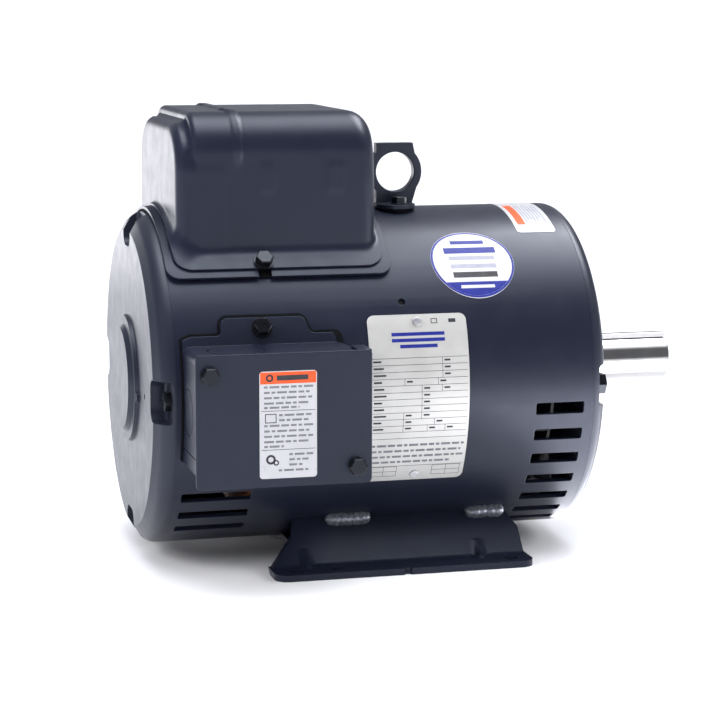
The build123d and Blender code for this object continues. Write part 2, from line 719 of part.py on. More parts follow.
# stationary board in the bracket, with the arm that the sleeve leans on
board_x = -138.6
board_t = 1.6
arm_x = -127.0
arm_r = 52.0
arm_t = 1.5
contact_x = -125.3
with BuildPart() as switch_board:
    add(tube(board_x, board_x + board_t, 34, 69))
    with BuildSketch(front_plane(8.5)):
        with Locations(((board_x + board_t - 123.5) / 2, shaft_height + arm_r)):
            Rectangle(-123.5 - board_x - board_t, 9)
    extrude(amount=17)
    with Locations(((board_x + board_t - 120) / 2, 0, shaft_height + arm_r)):
        Box(-120 - board_x - board_t, 12, 12, mode=Mode.SUBTRACT)
    with BuildSketch(front_plane(12)):
        with Locations((arm_x, shaft_height + arm_r)):
            Circle(pin_r + pin_gap)
    extrude(amount=24, mode=Mode.SUBTRACT)
switch_board.part.label = "switch_board"
export_step(switch_board.part, "parts/switch_board.step")

with BuildPart() as switch_arm:
    with Locations((arm_x, 0, shaft_height + (19 + 60) / 2)):
        Box(arm_t, 10, 60 - 19)
    with BuildSketch(front_plane(9)):
        with Locations((arm_x, shaft_height + arm_r)):
            Circle(pin_r)
    extrude(amount=18)
    with Locations(((arm_x + sleeve_face_x - 0.3) / 2, 0, shaft_height + 20.5)):
        Box(sleeve_face_x - 0.3 - arm_x, 8, 3)
    with BuildSketch(cross_plane(arm_x)):
        with Locations((0, 58)):
            Circle(2)
    extrude(amount=contact_x - arm_x)
switch_arm.part.label = "switch_arm"
export_step(switch_arm.part, "parts/switch_arm.step")

with BuildPart() as switch_contact:
    with BuildSketch(front_plane(4)):
        with BuildLine():
            Polyline(
                (board_x + board_t, shaft_height + 63), (-124, shaft_height + 63), (-124, shaft_height + 56),
                (-122.6, shaft_height + 56), (-122.6, shaft_height + 65), (board_x + board_t, shaft_height + 65),
                close=True,
            )
        make_face()
    extrude(amount=8)
    with BuildSketch(cross_plane(contact_x)):
        with Locations((0, 58)):
            Circle(2)
    extrude(amount=-124 - contact_x)
switch_contact.part.label = "switch_contact"
export_step(switch_contact.part, "parts/switch_contact.step")

# ================================================================== terminal box
gasket_t = 1.6
seat_r = shell_r + gasket_t     # the box and the covers seat on their gaskets
sheet_r = seat_r + sheet_t
box_x0 = -141.0
box_front_y = -148.4
box_top_z = 148.4
box_split_z = 87.6              # joint between the body and its bottom tray
box_bottom_z = 75.2
box_back_y = -92.0
box_front_x1 = -39.6            # the far side wall leans in towards the back
box_back_x1 = -46.0
side_lean = (box_back_x1 - box_front_x1) / (box_back_y - box_front_y)
cover_x0 = -141.9
cover_x1 = -35.5
cover_z0 = 70.0
cover_z1 = 150.0
cover_return = 19.0             # depth of the cover's folded side
cover_screw_at = ((-133.4, 137.9), (-44.8, 80.4))
thread_r = 2.0
thread_gap = 0.1


def box_plan(inset, front_y):
    """Corners of the box's plan outline, drawn in by a wall thickness."""
    front_x1 = box_front_x1 - inset + side_lean * (front_y - box_front_y)
    back_x1 = box_back_x1 - inset
    return (
        (box_x0 + inset, front_y), (front_x1, front_y), (back_x1, box_back_y), (box_x0 + inset, box_back_y),
    )


with BuildPart() as box_inside:
    with BuildSketch(Plane.XY.offset(box_bottom_z + sheet_t)):
        with BuildLine():
            Polyline(*box_plan(sheet_t, box_front_y - 10), close=True)
        make_face()
    extrude(amount=box_top_z - box_bottom_z - 2 * sheet_t)
    fillet(box_inside.edges().filter_by(Axis.Y), 3.4)

lower_step_z = shaft_height + sheet_r * sin(radians(21.3))
upper_step_z = shaft_height + sheet_r * sin(radians(27.0))


def back_sheet(low_z, right_x, margin, inner, outer):
    """The stepped outline of the box's back, widened by a margin and wrapped between two radii."""
    with BuildPart() as sheet:
        with BuildSketch(front_plane(-60)) as outline:
            with BuildLine():
                Polyline(
                    (box_x0, low_z), (box_x0, lower_step_z - 2), (-135.6, lower_step_z), (-117, lower_step_z),
                    (-117, upper_step_z), (-65, upper_step_z), (-61.5, lower_step_z), (right_x - 2, lower_step_z),
                    (right_x, lower_step_z - 3), (right_x, low_z), close=True,
                )
            make_face()
            fillet(outline.vertices().filter_by_position(Axis.Y, upper_step_z - 0.1, upper_step_z + 0.1), 4.5)
            fillet(outline.vertices().sort_by_distance((-61.5, lower_step_z))[0], 4)
            fillet(outline.vertices().sort_by_distance((-117, lower_step_z))[0], 2.5)
            if margin > 0:
                offset(amount=margin)
        extrude(amount=60)
        add(tube(-150, -30, inner, outer), mode=Mode.INTERSECT)
    return sheet.part


with BuildPart() as terminal_box_body:
    with BuildSketch(Plane.XY.offset(box_bottom_z)):
        with BuildLine():
            Polyline(*box_plan(0, box_front_y), close=True)
        make_face()
    extrude(amount=box_top_z - box_bottom_z)
    fillet(terminal_box_body.edges().filter_by(Axis.Y).group_by(Axis.Z)[-1], 5)
    add(box_inside.part, mode=Mode.SUBTRACT)
    with BuildSketch(Plane.XY.offset(box_bottom_z - 1)):
        Rectangle(400, 400)
    extrude(amount=box_split_z - box_bottom_z + 1, mode=Mode.SUBTRACT)
    with BuildSketch(cross_plane(-150)):
        Circle(seat_r)
    extrude(amount=120, mode=Mode.SUBTRACT)
    add(back_sheet(box_split_z, box_back_x1, 0, seat_r, sheet_r))
    # corner tab for the upper cover screw
    with Locations(((box_x0 - 127) / 2, box_front_y + sheet_t / 2, 139.4)):
        Box(-127 - box_x0 - 2, sheet_t, 15)
    with BuildSketch(front_plane(box_front_y + 5)):
        with Locations(cover_screw_at[0]):
            Circle(thread_r + thread_gap)
    extrude(amount=10, mode=Mode.SUBTRACT)
    # cable opening and fixing holes through the back
    for x, angle, radius in ((box_lead_x, 0, 18), (*tab_screw_at, 2.35), (-55, -4, 2.1)):
        with BuildSketch(skin_plane(x, angle, shell_r + 8)):
            Circle(radius)
        extrude(amount=-9, mode=Mode.SUBTRACT)
    # knockouts, pressed round grooves in the top and the end wall
    with BuildSketch(Plane.XY.offset(box_top_z)):
        with Locations((-112.5, -124.5)):
            Circle(17.5)
            Circle(16.7, mode=Mode.SUBTRACT)
    extrude(amount=-0.6, mode=Mode.SUBTRACT)
    with BuildSketch(Plane.YZ.offset(box_x0)):
        with Locations((-122, 112)):
            Circle(14.3)
            Circle(13.5, mode=Mode.SUBTRACT)
    extrude(amount=0.6, mode=Mode.SUBTRACT)
terminal_box_body.part.label = "terminal_box_body"
export_step(terminal_box_body.part, "parts/terminal_box_body.step")

with BuildPart() as terminal_box_bottom:
    with BuildSketch(Plane.XY.offset(box_bottom_z)):
        with BuildLine():
            Polyline(*box_plan(0, box_front_y), close=True)
        make_face()
    extrude(amount=box_split_z - 0.7 - box_bottom_z)
    fillet(terminal_box_bottom.edges().filter_by(Axis.Y).group_by(Axis.Z)[0], 4)
    add(box_inside.part, mode=Mode.SUBTRACT)
    with BuildSketch(cross_plane(-150)):
        Circle(seat_r)
    extrude(amount=120, mode=Mode.SUBTRACT)
    with Locations((-46.5, box_front_y + sheet_t / 2, 80.5)):
        Box(10, sheet_t, 10)
    with BuildSketch(front_plane(box_front_y + 5)):
        with Locations(cover_screw_at[1]):
            Circle(thread_r + thread_gap)
    extrude(amount=10, mode=Mode.SUBTRACT)
    with BuildSketch(Plane.XY.offset(box_bottom_z)):
        with Locations((-112, -125), (-70, -125)):
            Circle(14.3)
            Circle(13.5, mode=Mode.SUBTRACT)
    extrude(amount=0.6, mode=Mode.SUBTRACT)
terminal_box_bottom.part.label = "terminal_box_bottom"
export_step(terminal_box_bottom.part, "parts/terminal_box_bottom.step")

with BuildPart() as terminal_box_cover:
    with BuildSketch(front_plane(box_front_y)):
        with Locations(((cover_x0 + cover_x1) / 2, (cover_z0 + cover_z1) / 2)):
            RectangleRounded(cover_x1 - cover_x0, cover_z1 - cover_z0, 3)
    extrude(amount=sheet_t)
    fillet(terminal_box_cover.faces().sort_by(Axis.Y)[0].edges(), 0.6)
    # side folded back over the box, with a short return at the top
    with Locations((cover_x1 - sheet_t / 2, box_front_y + cover_return / 2, (cover_z0 + cover_z1) / 2)):
        Box(sheet_t, cover_return, cover_z1 - cover_z0 - 4)
    with Locations((cover_x1 - 4, box_front_y + cover_return / 2, cover_z1 - 0.75)):
        Box(8, cover_return, 1.5)
    with BuildSketch(front_plane(box_front_y + 5)):
        with Locations(*cover_screw_at):
            Circle(thread_r + thread_gap)
    extrude(amount=10, mode=Mode.SUBTRACT)
terminal_box_cover.part.label = "terminal_box_cover"
export_step(terminal_box_cover.part, "parts/terminal_box_cover.step")

with BuildPart() as cover_screws:
    for x, z in cover_screw_at:
        seat = Plane((x, box_front_y - sheet_t, z), x_dir=(1, 0, 0), z_dir=(0, -1, 0))
        add(screw(seat, 9.6, 4.0, 5.6, 1.0, thread_r, 10))
cover_screws.part.label = "cover_screws"
export_step(cover_screws.part, "parts/cover_screws.step")

with BuildPart() as box_gasket:
    add(back_sheet(79.3, box_back_x1 + 3.2, 1.4, shell_r, seat_r))
    for x, angle, radius in ((box_lead_x, 0, 19), (*tab_screw_at, 2.35), (-55, -4, 2.5)):
        with BuildSketch(skin_plane(x, angle, shell_r + 8)):
            Circle(radius)
        extrude(amount=-9, mode=Mode.SUBTRACT)
box_gasket.part.label = "box_gasket"
export_step(box_gasket.part, "parts/box_gasket.step")

# insulating board with its studs, on two posts against the back of the box
terminal_board_y = -122.0
stud_x = (-105, -97, -89, -81)
stud_z = (108, 124)
with BuildPart() as terminal_board:
    with Locations((-93, terminal_board_y + 1.5, 116)):
        Box(50, 3, 34)
    with BuildSketch(front_plane(-100)):
        with Locations((-113.5, 128), (-113.5, 104)):
            Circle(3.5)
    extrude(amount=-terminal_board_y - 100 - 1)
    with BuildSketch(cross_plane(-150)):
        Circle(sheet_r)
    extrude(amount=120, mode=Mode.SUBTRACT)
    with BuildSketch(front_plane(terminal_board_y + 5)):
        for x in stud_x:
            with Locations((x, stud_z[0]), (x, stud_z[1])):
                Circle(2.05)
    extrude(amount=10, mode=Mode.SUBTRACT)
terminal_board.part.label = "terminal_board"
export_step(terminal_board.part, "parts/terminal_board.step")

with BuildPart() as terminal_studs:
    for x in stud_x:
        for z in stud_z:
            seat = Plane((x, terminal_board_y, z), x_dir=(1, 0, 0), z_dir=(0, -1, 0))
            add(screw(seat, 5.5, 2.4, 3.2, 0.6, 2.0, 5))
terminal_studs.part.label = "terminal_studs"
export_step(terminal_studs.part, "parts/terminal_studs.step")

with BuildPart() as ground_screw:
    add(screw(skin_plane(-55, -4, sheet_r + 0.05), 7.0, 3.2, 4.4, 0.8, 2.0, sheet_r - shell_r))
ground_screw.part.label = "ground_screw"
export_step(ground_screw.part, "parts/ground_screw.step")

# ================================================================== capacitors and their cover
saddle_t = 1.9
saddle_r = seat_r + saddle_t
flange_r = saddle_r + sheet_t
saddle_x0 = -146.0
saddle_x1 = -4.0
saddle_angle = 41.5
cover_flange_x0 = -141.0
cover_flange_x1 = -8.5
cover_flange_angle = 44.2
dome_half_w = 70.0
dome_top_z = 287.5
dome_shoulder_r = 25.0
dome_x1 = -9.5
dome_step_x = -127.5            # where the dome steps down at the opposite drive end
dome_x0 = -137.5
step_top_z = 280.0
step_shoulder_r = 30.0

with BuildPart() as capacitor_gasket:
    add(curved_sheet(saddle_x0 + 1.5, saddle_x1 - 1.5, saddle_angle + 0.6, 179.4 - saddle_angle, shell_r, seat_r, 9))
    with Locations((-75, 0, shaft_height + 100)):
        Box(96, 100, 100, mode=Mode.SUBTRACT)
    for angle in (saddle_screw_at[1], 180 - saddle_screw_at[1]):
        with BuildSketch(skin_plane(saddle_screw_at[0], angle, shell_r + 8)):
            Circle(2.35)
        extrude(amount=-9, mode=Mode.SUBTRACT)
capacitor_gasket.part.label = "capacitor_gasket"
export_step(capacitor_gasket.part, "parts/capacitor_gasket.step")

with BuildPart() as capacitor_saddle:
    add(curved_sheet(saddle_x0, saddle_x1, saddle_angle, 180 - saddle_angle, seat_r, saddle_r, 9))
    with Locations((-75, 0, shaft_height + 100)):
        Box(90, 90, 100, mode=Mode.SUBTRACT)
    for side in (-1, 1):
        angle = 90 + side * (90 - saddle_screw_at[1])
        with BuildSketch(skin_plane(saddle_screw_at[0], angle, shell_r + 8)):
            with Locations((0, side * 10)):
                Rectangle(8, 20)
            Circle(4)
        extrude(amount=-9, mode=Mode.SUBTRACT)
capacitor_saddle.part.label = "capacitor_saddle"
export_step(capacitor_saddle.part, "parts/capacitor_saddle.step")


def dome(x0, x1, half_w, top_z, shoulder_r):
    """Block with a rounded-shouldered section, from x0 to x1, standing into the body."""
    base_z = 60.0
    top = top_z - shaft_height
    with BuildPart() as block:
        with BuildSketch(cross_plane(x0)):
            with BuildLine():
                Polyline(
                    (-half_w + shoulder_r, top), (half_w - shoulder_r, top),
                )
                RadiusArc((half_w - shoulder_r, top), (half_w, top - shoulder_r), shoulder_r)
                Polyline(
                    (half_w, top - shoulder_r), (half_w, base_z), (-half_w, base_z), (-half_w, top - shoulder_r),
                )
                RadiusArc((-half_w, top - shoulder_r), (-half_w + shoulder_r, top), shoulder_r)
            make_face()
        extrude(amount=x1 - x0)
    return block.part


with BuildPart() as dome_outside:
    add(dome(dome_step_x, dome_x1, dome_half_w, dome_top_z, dome_shoulder_r))
    fillet(dome_outside.faces().sort_by(Axis.X)[-1].edges().filter_by(lambda e: e.center().Z > 200), 10)
    fillet(dome_outside.faces().sort_by(Axis.X)[0].edges().group_by(Axis.Z)[-1], 7)

with BuildPart() as step_outside:
    add(dome(dome_x0, dome_step_x + 12, dome_half_w, step_top_z, step_shoulder_r))
    fillet(step_outside.faces().sort_by(Axis.X)[0].edges().filter_by(lambda e: e.center().Z > 200), 9)

with BuildPart() as dome_inside:
    add(dome(dome_step_x + 1, dome_x1 - sheet_t, dome_half_w - sheet_t, dome_top_z - 9, dome_shoulder_r - 2))
    add(dome(dome_x0 + sheet_t, dome_x1 - 20, dome_half_w - sheet_t, step_top_z - 8, step_shoulder_r - 2))

with BuildPart() as capacitor_cover:
    add(dome_outside.part)
    add(step_outside.part)
    with BuildSketch(cross_plane(-150)):
        Circle(saddle_r + 0.2)
    extrude(amount=160, mode=Mode.SUBTRACT)
    add(curved_sheet(cover_flange_x0, cover_flange_x1, cover_flange_angle, 180 - cover_flange_angle,
                     saddle_r, flange_r, 9))
    add(dome_inside.part, mode=Mode.SUBTRACT)
    for side in (-1, 1):
        angle = 90 + side * (90 - saddle_screw_at[1])
        with BuildSketch(skin_plane(saddle_screw_at[0], angle, flange_r + 3)):
            Circle(2.35)
        extrude(amount=-8, mode=Mode.SUBTRACT)
capacitor_cover.part.label = "capacitor_cover"
export_step(capacitor_cover.part, "parts/capacitor_cover.step")

# identical screws hold the capacitor cover and the tab of the terminal box to the body
with BuildPart() as body_screws:
    for x, angle, seat_height in (
        (*saddle_screw_at, flange_r),
        (saddle_screw_at[0], 180 - saddle_screw_at[1], flange_r),
        (*tab_screw_at, sheet_r),
    ):
        add(screw(skin_plane(x, angle, seat_height + 0.1), 9.6, 4.2, 6.4, 1.2, 2.2, seat_height - shell_bore_r + 2))
body_screws.part.label = "body_screws"
export_step(body_screws.part, "parts/body_screws.step")

# two moulded start capacitors and one metal-cased run capacitor lie side by side
start_cap_r = 18.0
run_cap_r = 22.0
cap_rest_r = saddle_r + 1.0
cap_x0 = -118.0
start_cap_y = (-44.0, -5.0)
run_cap_y = 41.5


def capacitor_z(y, radius):
    """Height of a capacitor's axis when it lies on the round body at y."""
    return shaft_height + sqrt((cap_rest_r + radius) ** 2 - y ** 2)


with BuildPart() as start_capacitors:
    for y in start_cap_y:
        z = capacitor_z(y, start_cap_r)
        with BuildSketch(Plane((cap_x0, y, z), x_dir=(0, 1, 0), z_dir=(1, 0, 0))):
            Circle(start_cap_r)
        extrude(amount=88)
    fillet(start_capacitors.edges().filter_by(GeomType.CIRCLE), 1.5)
start_capacitors.part.label = "start_capacitors"
export_step(start_capacitors.part, "parts/start_capacitors.step")

with BuildPart() as run_capacitor:
    with BuildSketch(Plane((cap_x0, run_cap_y, capacitor_z(run_cap_y, run_cap_r)), x_dir=(0, 1, 0), z_dir=(1, 0, 0))):
        Circle(run_cap_r)
    extrude(amount=82)
    fillet(run_capacitor.edges().filter_by(GeomType.CIRCLE), 2)
run_capacitor.part.label = "run_capacitor"
export_step(run_capacitor.part, "parts/run_capacitor.step")

with BuildPart() as capacitor_terminals:
    for y, radius, length in ((start_cap_y[0], start_cap_r, 88), (start_cap_y[1], start_cap_r, 88),
                              (run_cap_y, run_cap_r, 82)):
        for offset in (-7, 7):
            with Locations((cap_x0 + length + 4, y + offset, capacitor_z(y, radius))):
                Box(8, 0.8, 6.3)
capacitor_terminals.part.label = "capacitor_terminals"
export_step(capacitor_terminals.part, "parts/capacitor_terminals.step")

# strap that holds the capacitors down on the saddle
strap_half_y = 64.0
strap_top_z = capacitor_z(run_cap_y, run_cap_r) + run_cap_r
with BuildPart() as capacitor_strap:
    with BuildSketch(cross_plane(-78)):
        with BuildLine():
            Polyline(
                (-strap_half_y, 85), (-strap_half_y, strap_top_z + 1.2 - shaft_height),
                (strap_half_y + 1.2, strap_top_z + 1.2 - shaft_height), (strap_half_y + 1.2, 85),
                (strap_half_y, 85), (strap_half_y, strap_top_z - shaft_height),
                (-strap_half_y + 1.2, strap_top_z - shaft_height), (-strap_half_y + 1.2, 85), close=True,
            )
        make_face()
    extrude(amount=14)
    with BuildSketch(cross_plane(-90)):
        Circle(saddle_r)
    extrude(amount=40, mode=Mode.SUBTRACT)
capacitor_strap.part.label = "capacitor_strap"
export_step(capacitor_strap.part, "parts/capacitor_strap.step")

# ================================================================== lifting lug
lug_eye_z = 243.8
lug_eye_r = 12.8
lug_outer_r = 17.8
lug_left_x = 4.4                # the eye is cut flat on this side
lug_t = 7.0
lug_foot_z = 221.0
lug_foot_t = 2.6
lug_foot_r = 12.8
lug_foot_x = 16.6
lug_foot_y = -11.5

with BuildPart() as lifting_lug:
    with BuildSketch(front_plane(lug_t / 2)):
        with Locations((lug_x, lug_eye_z)):
            Circle(lug_outer_r)
        with BuildLine():
            Polyline((6, lug_foot_z), (6, 262.5), (30.5, 262.5), (35.3, 240), (29.4, lug_foot_z), close=True)
        make_face()
        with Locations((lug_left_x + 30, lug_eye_z)):
            Rectangle(60, 120, mode=Mode.INTERSECT)
        with Locations((lug_x, lug_eye_z)):
            Circle(lug_eye_r, mode=Mode.SUBTRACT)
    extrude(amount=lug_t)
    chamfer(lifting_lug.edges().filter_by(GeomType.CIRCLE).filter_by(lambda e: abs(e.radius - lug_eye_r) < 0.1), 0.5)
    with BuildSketch(Plane.XY.offset(lug_foot_z)):
        with Locations((lug_foot_x, lug_foot_y)):
            Circle(lug_foot_r)
        with Locations((lug_foot_x, lug_foot_y / 2)):
            Rectangle(2 * lug_foot_r, -lug_foot_y)
    extrude(amount=lug_foot_t)
    with BuildSketch(Plane.XY.offset(lug_foot_z)):
        with Locations((lug_x, lug_bolt_y)):
            Circle(3.4)
    extrude(amount=lug_foot_t, mode=Mode.SUBTRACT)
lifting_lug.part.label = "lifting_lug"
export_step(lifting_lug.part, "parts/lifting_lug.step")

with BuildPart() as lug_spacer:
    with BuildSketch(Plane.XY.offset(lug_foot_z - 10)):
        with Locations((lug_foot_x, lug_foot_y)):
            Circle(lug_foot_r - 0.8)
        with Locations((lug_x, lug_bolt_y)):
            Circle(3.4, mode=Mode.SUBTRACT)
    extrude(amount=10)
    with BuildSketch(cross_plane(-20)):
        Circle(shell_r)
    extrude(amount=80, mode=Mode.SUBTRACT)
lug_spacer.part.label = "lug_spacer"
export_step(lug_spacer.part, "parts/lug_spacer.step")

with BuildPart() as lug_bolt:
    seat = Plane((lug_x, lug_bolt_y, lug_foot_z + lug_foot_t), x_dir=(1, 0, 0), z_dir=(0, 0, 1))
    add(screw(seat, 8.7, 4.4, 5.2, 0.5, 3.1, 6.2))
lug_bolt.part.label = "lug_bolt"
export_step(lug_bolt.part, "parts/lug_bolt.step")

# ================================================================== plate and stickers
with BuildPart() as nameplate:
    add(curved_sheet(-25, 38.5, -32.2, 26.8, shell_r, shell_r + 0.5, 4.5))
    for angle in plate_pin_angles:
        with BuildSketch(skin_plane(plate_pin_x, angle, shell_r + 4)):
            Circle(1.25)
        extrude(amount=-8, mode=Mode.SUBTRACT)
nameplate.part.label = "nameplate"
export_step(nameplate.part, "parts/nameplate.step")

with BuildPart() as nameplate_pins:
    for angle in plate_pin_angles:
        with BuildSketch(skin_plane(plate_pin_x, angle, shell_r + 0.55)):
            Circle(pin_head_r)
        extrude(amount=0.9)
        with BuildSketch(skin_plane(plate_pin_x, angle, shell_r + 0.55)):
            Circle(1.2)
        extrude(amount=-shell_t - 0.5)
    fillet(nameplate_pins.edges().filter_by(GeomType.CIRCLE).filter_by(lambda e: abs(e.radius - pin_head_r) < 0.01)
           .filter_by(lambda e: sqrt(e.center().Y ** 2 + (e.center().Z - shaft_height) ** 2) > shell_r + 1), 0.5)
nameplate_pins.part.label = "nameplate_pins"
export_step(nameplate_pins.part, "parts/nameplate_pins.step")

sticker_t = 0.2
with BuildPart() as cover_label:
    with BuildSketch(front_plane(box_front_y - sheet_t)):
        with Locations((-86.7, 107.3)):
            RectangleRounded(34.6, 64, 2)
    extrude(amount=sticker_t)
cover_label.part.label = "cover_label"
export_step(cover_label.part, "parts/cover_label.step")

with BuildPart() as side_sticker:
    add(curved_sheet(15, 85, 20, 75, shell_r, shell_r + sticker_t, 1))
    with BuildSketch(skin_plane(50, 46.5, shell_r + 10)):
        Circle(27)
    extrude(amount=-20, mode=Mode.INTERSECT)
side_sticker.part.label = "side_sticker"
export_step(side_sticker.part, "parts/side_sticker.step")

with BuildPart() as top_label:
    add(curved_sheet(87, 113, 60.5, 100, shell_r, shell_r + sticker_t, 2.5))
top_label.part.label = "top_label"
export_step(top_label.part, "parts/top_label.step")
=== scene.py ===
"""Looks of the electric motor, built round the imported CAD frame.

Metres, in the frame's own axes: +X along the shaft to the drive end, -Y the terminal-box side, +Z up.
"""
import json
import math

import bmesh
import bpy
import numpy as np
from mathutils import Matrix, Vector


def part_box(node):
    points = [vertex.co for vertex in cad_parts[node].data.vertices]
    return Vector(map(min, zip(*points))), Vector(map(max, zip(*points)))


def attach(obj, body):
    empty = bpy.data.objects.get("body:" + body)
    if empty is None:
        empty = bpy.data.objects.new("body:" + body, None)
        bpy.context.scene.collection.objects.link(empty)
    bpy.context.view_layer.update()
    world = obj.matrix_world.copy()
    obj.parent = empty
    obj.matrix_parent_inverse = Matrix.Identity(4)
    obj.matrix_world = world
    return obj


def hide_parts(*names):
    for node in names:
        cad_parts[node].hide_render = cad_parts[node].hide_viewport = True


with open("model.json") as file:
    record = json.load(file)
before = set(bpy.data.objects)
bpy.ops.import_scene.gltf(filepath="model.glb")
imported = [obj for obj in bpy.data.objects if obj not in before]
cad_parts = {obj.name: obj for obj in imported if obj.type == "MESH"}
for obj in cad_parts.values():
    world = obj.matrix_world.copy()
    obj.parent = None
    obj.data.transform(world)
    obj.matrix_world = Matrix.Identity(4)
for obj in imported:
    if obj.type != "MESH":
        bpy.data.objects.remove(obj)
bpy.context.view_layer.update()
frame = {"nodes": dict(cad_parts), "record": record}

MM = 0.001

# ------------------------------------------------------------------ places read from the frame
shell_low, shell_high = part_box("frame_shell")
axis_z = (shell_low.z + shell_high.z) / 2
shell_r = (shell_high.y - shell_low.y) / 2
cover_low, cover_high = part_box("capacitor_cover")
label_low, label_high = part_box("cover_label")
plate_low, plate_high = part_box("nameplate")
sticker_low, sticker_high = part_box("side_sticker")
tag_low, tag_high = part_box("top_label")
rail_low, rail_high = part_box("base_rails")
rail_foot = 20.5                # width of a rail's foot, in millimetres
plate_thickness = 4.2
wall_lean = 0.803               # how far a rail's wall draws in for each millimetre of height


# ------------------------------------------------------------------ camera
def add_camera():
    """The camera, with the viewing direction and the lens of the reference view."""
    look = Vector((0.250445, 0.955597, -0.155279))
    up = Vector((0.037665, 0.150652, 0.987869))
    right = look.cross(up).normalized()
    data = bpy.data.cameras.new("camera")
    data.sensor_width = 36.0
    data.lens = 112.67
    data.clip_start = 0.05
    data.clip_end = 60
    camera = bpy.data.objects.new("camera", data)
    camera.matrix_world = Matrix.Translation((-0.376434, -1.421523, 0.350650)) @ Matrix(
        (right, up, -look)).transposed().to_4x4()
    bpy.context.scene.collection.objects.link(camera)
    bpy.context.scene.camera = camera


# ------------------------------------------------------------------ node helpers
def node(tree, kind, **values):
    """A shader node, with named inputs or properties set."""
    made = tree.nodes.new(kind)
    for name, value in values.items():
        if name in made.inputs:
            made.inputs[name].default_value = value
        else:
            setattr(made, name, value)
    return made


def blank_material(name):
    """A material with only its output, and its node tree."""
    material = bpy.data.materials.new(name)
    material.use_nodes = True
    tree = material.node_tree
    tree.nodes.clear()
    return material, tree


def place_vector(tree, stretch=(1, 1, 1)):
    """The point on the piece in metres, stretched for a pattern that runs one way."""
    where = node(tree, "ShaderNodeTexCoord")
    mapping = node(tree, "ShaderNodeMapping")
    mapping.inputs["Scale"].default_value = stretch
    tree.links.new(where.outputs["Object"], mapping.inputs["Vector"])
    return mapping.outputs["Vector"]


def noise(tree, vector, size, detail=3.0, roughness=0.55):
    """Noise with features about this size, in metres."""
    made = node(tree, "ShaderNodeTexNoise", Detail=detail, Roughness=roughness)
    made.inputs["Scale"].default_value = 1 / size
    tree.links.new(vector, made.inputs["Vector"])
    return made.outputs["Fac"]


def spread(tree, value, low, high, from_low=0.3, from_high=0.7):
    """Maps the middle of a pattern's range onto low to high."""
    made = node(tree, "ShaderNodeMapRange")
    made.inputs["From Min"].default_value = from_low
    made.inputs["From Max"].default_value = from_high
    made.inputs["To Min"].default_value = low
    made.inputs["To Max"].default_value = high
    tree.links.new(value, made.inputs["Value"])
    return made.outputs["Result"]


def mix_colour(tree, factor, first, second):
    """Mixes two colours by a factor. Each colour is a tuple or a socket."""
    made = node(tree, "ShaderNodeMix", data_type="RGBA")
    colour_inputs = [s for s in made.inputs if s.type == "RGBA"]
    for socket, value in zip(colour_inputs, (first, second)):
        if isinstance(value, tuple):
            socket.default_value = (*value, 1)
        else:
            tree.links.new(value, socket)
    tree.links.new(factor, made.inputs[0])
    return [s for s in made.outputs if s.type == "RGBA"][0]


def bump(tree, height, depth, strength=1.0, normal=None):
    """A bump of this depth in metres."""
    made = node(tree, "ShaderNodeBump", Strength=strength, Distance=depth)
    tree.links.new(height, made.inputs["Height"])
    if normal is not None:
        tree.links.new(normal, made.inputs["Normal"])
    return made.outputs["Normal"]


def soft_edges(tree, radius):
    """Normals that round every sharp edge by this radius."""
    return node(tree, "ShaderNodeBevel", samples=4, Radius=radius).outputs["Normal"]


def principled(material, tree, colour, roughness, normal=None, **values):
    """The surface shader and its output. Colour and roughness are sockets or plain values."""
    shader = node(tree, "ShaderNodeBsdfPrincipled", **values)
    for name, value in (("Base Color", colour), ("Roughness", roughness), ("Normal", normal)):
        if value is None:
            continue
        if isinstance(value, tuple):
            shader.inputs[name].default_value = (*value, 1)
        elif isinstance(value, float):
            shader.inputs[name].default_value = value
        else:
            tree.links.new(value, shader.inputs[name])
    output = node(tree, "ShaderNodeOutputMaterial")
    tree.links.new(shader.outputs["BSDF"], output.inputs["Surface"])
    return material


def surface(name, dark, light, rough, size=0.03, grain=0.0015, depth=0.00002, edge=0.0004,
            stretch=(1, 1, 1), **values):
    """A finish with mottled colour, uneven gloss and a fine grain. rough is a (low, high) pair."""
    material, tree = blank_material(name)
    here = place_vector(tree, stretch)
    colour = mix_colour(tree, spread(tree, noise(tree, here, size), 0, 1), dark, light)
    gloss = spread(tree, noise(tree, here, size * 0.4, 4.0), rough[0], rough[1])
    rounded = soft_edges(tree, edge) if edge else None
    normal = bump(tree, noise(tree, here, grain, 2.0), depth, normal=rounded)
    return principled(material, tree, colour, gloss, normal, **values)


# ------------------------------------------------------------------ materials
def paint_material(name, dark, light, grain, depth):
    """Satin slate paint: slow tone changes, faint orange peel and a fine speckle."""
    material, tree = blank_material(name)
    here = place_vector(tree)
    cloud = spread(tree, noise(tree, here, 0.09, 3.0), 0, 1)
    colour = mix_colour(tree, cloud, dark, light)
    gloss = spread(tree, noise(tree, here, 0.012, 4.0), 0.31, 0.38)
    peel = bump(tree, noise(tree, here, grain, 2.0), depth, normal=soft_edges(tree, 0.0006))
    painted = principled(material, tree, colour, gloss, peel)
    shader = tree.nodes["Principled BSDF"]
    shader.inputs["Specular IOR Level"].default_value = 0.33
    shader.inputs["Specular Tint"].default_value = (0.84, 0.90, 1.0, 1)
    return painted


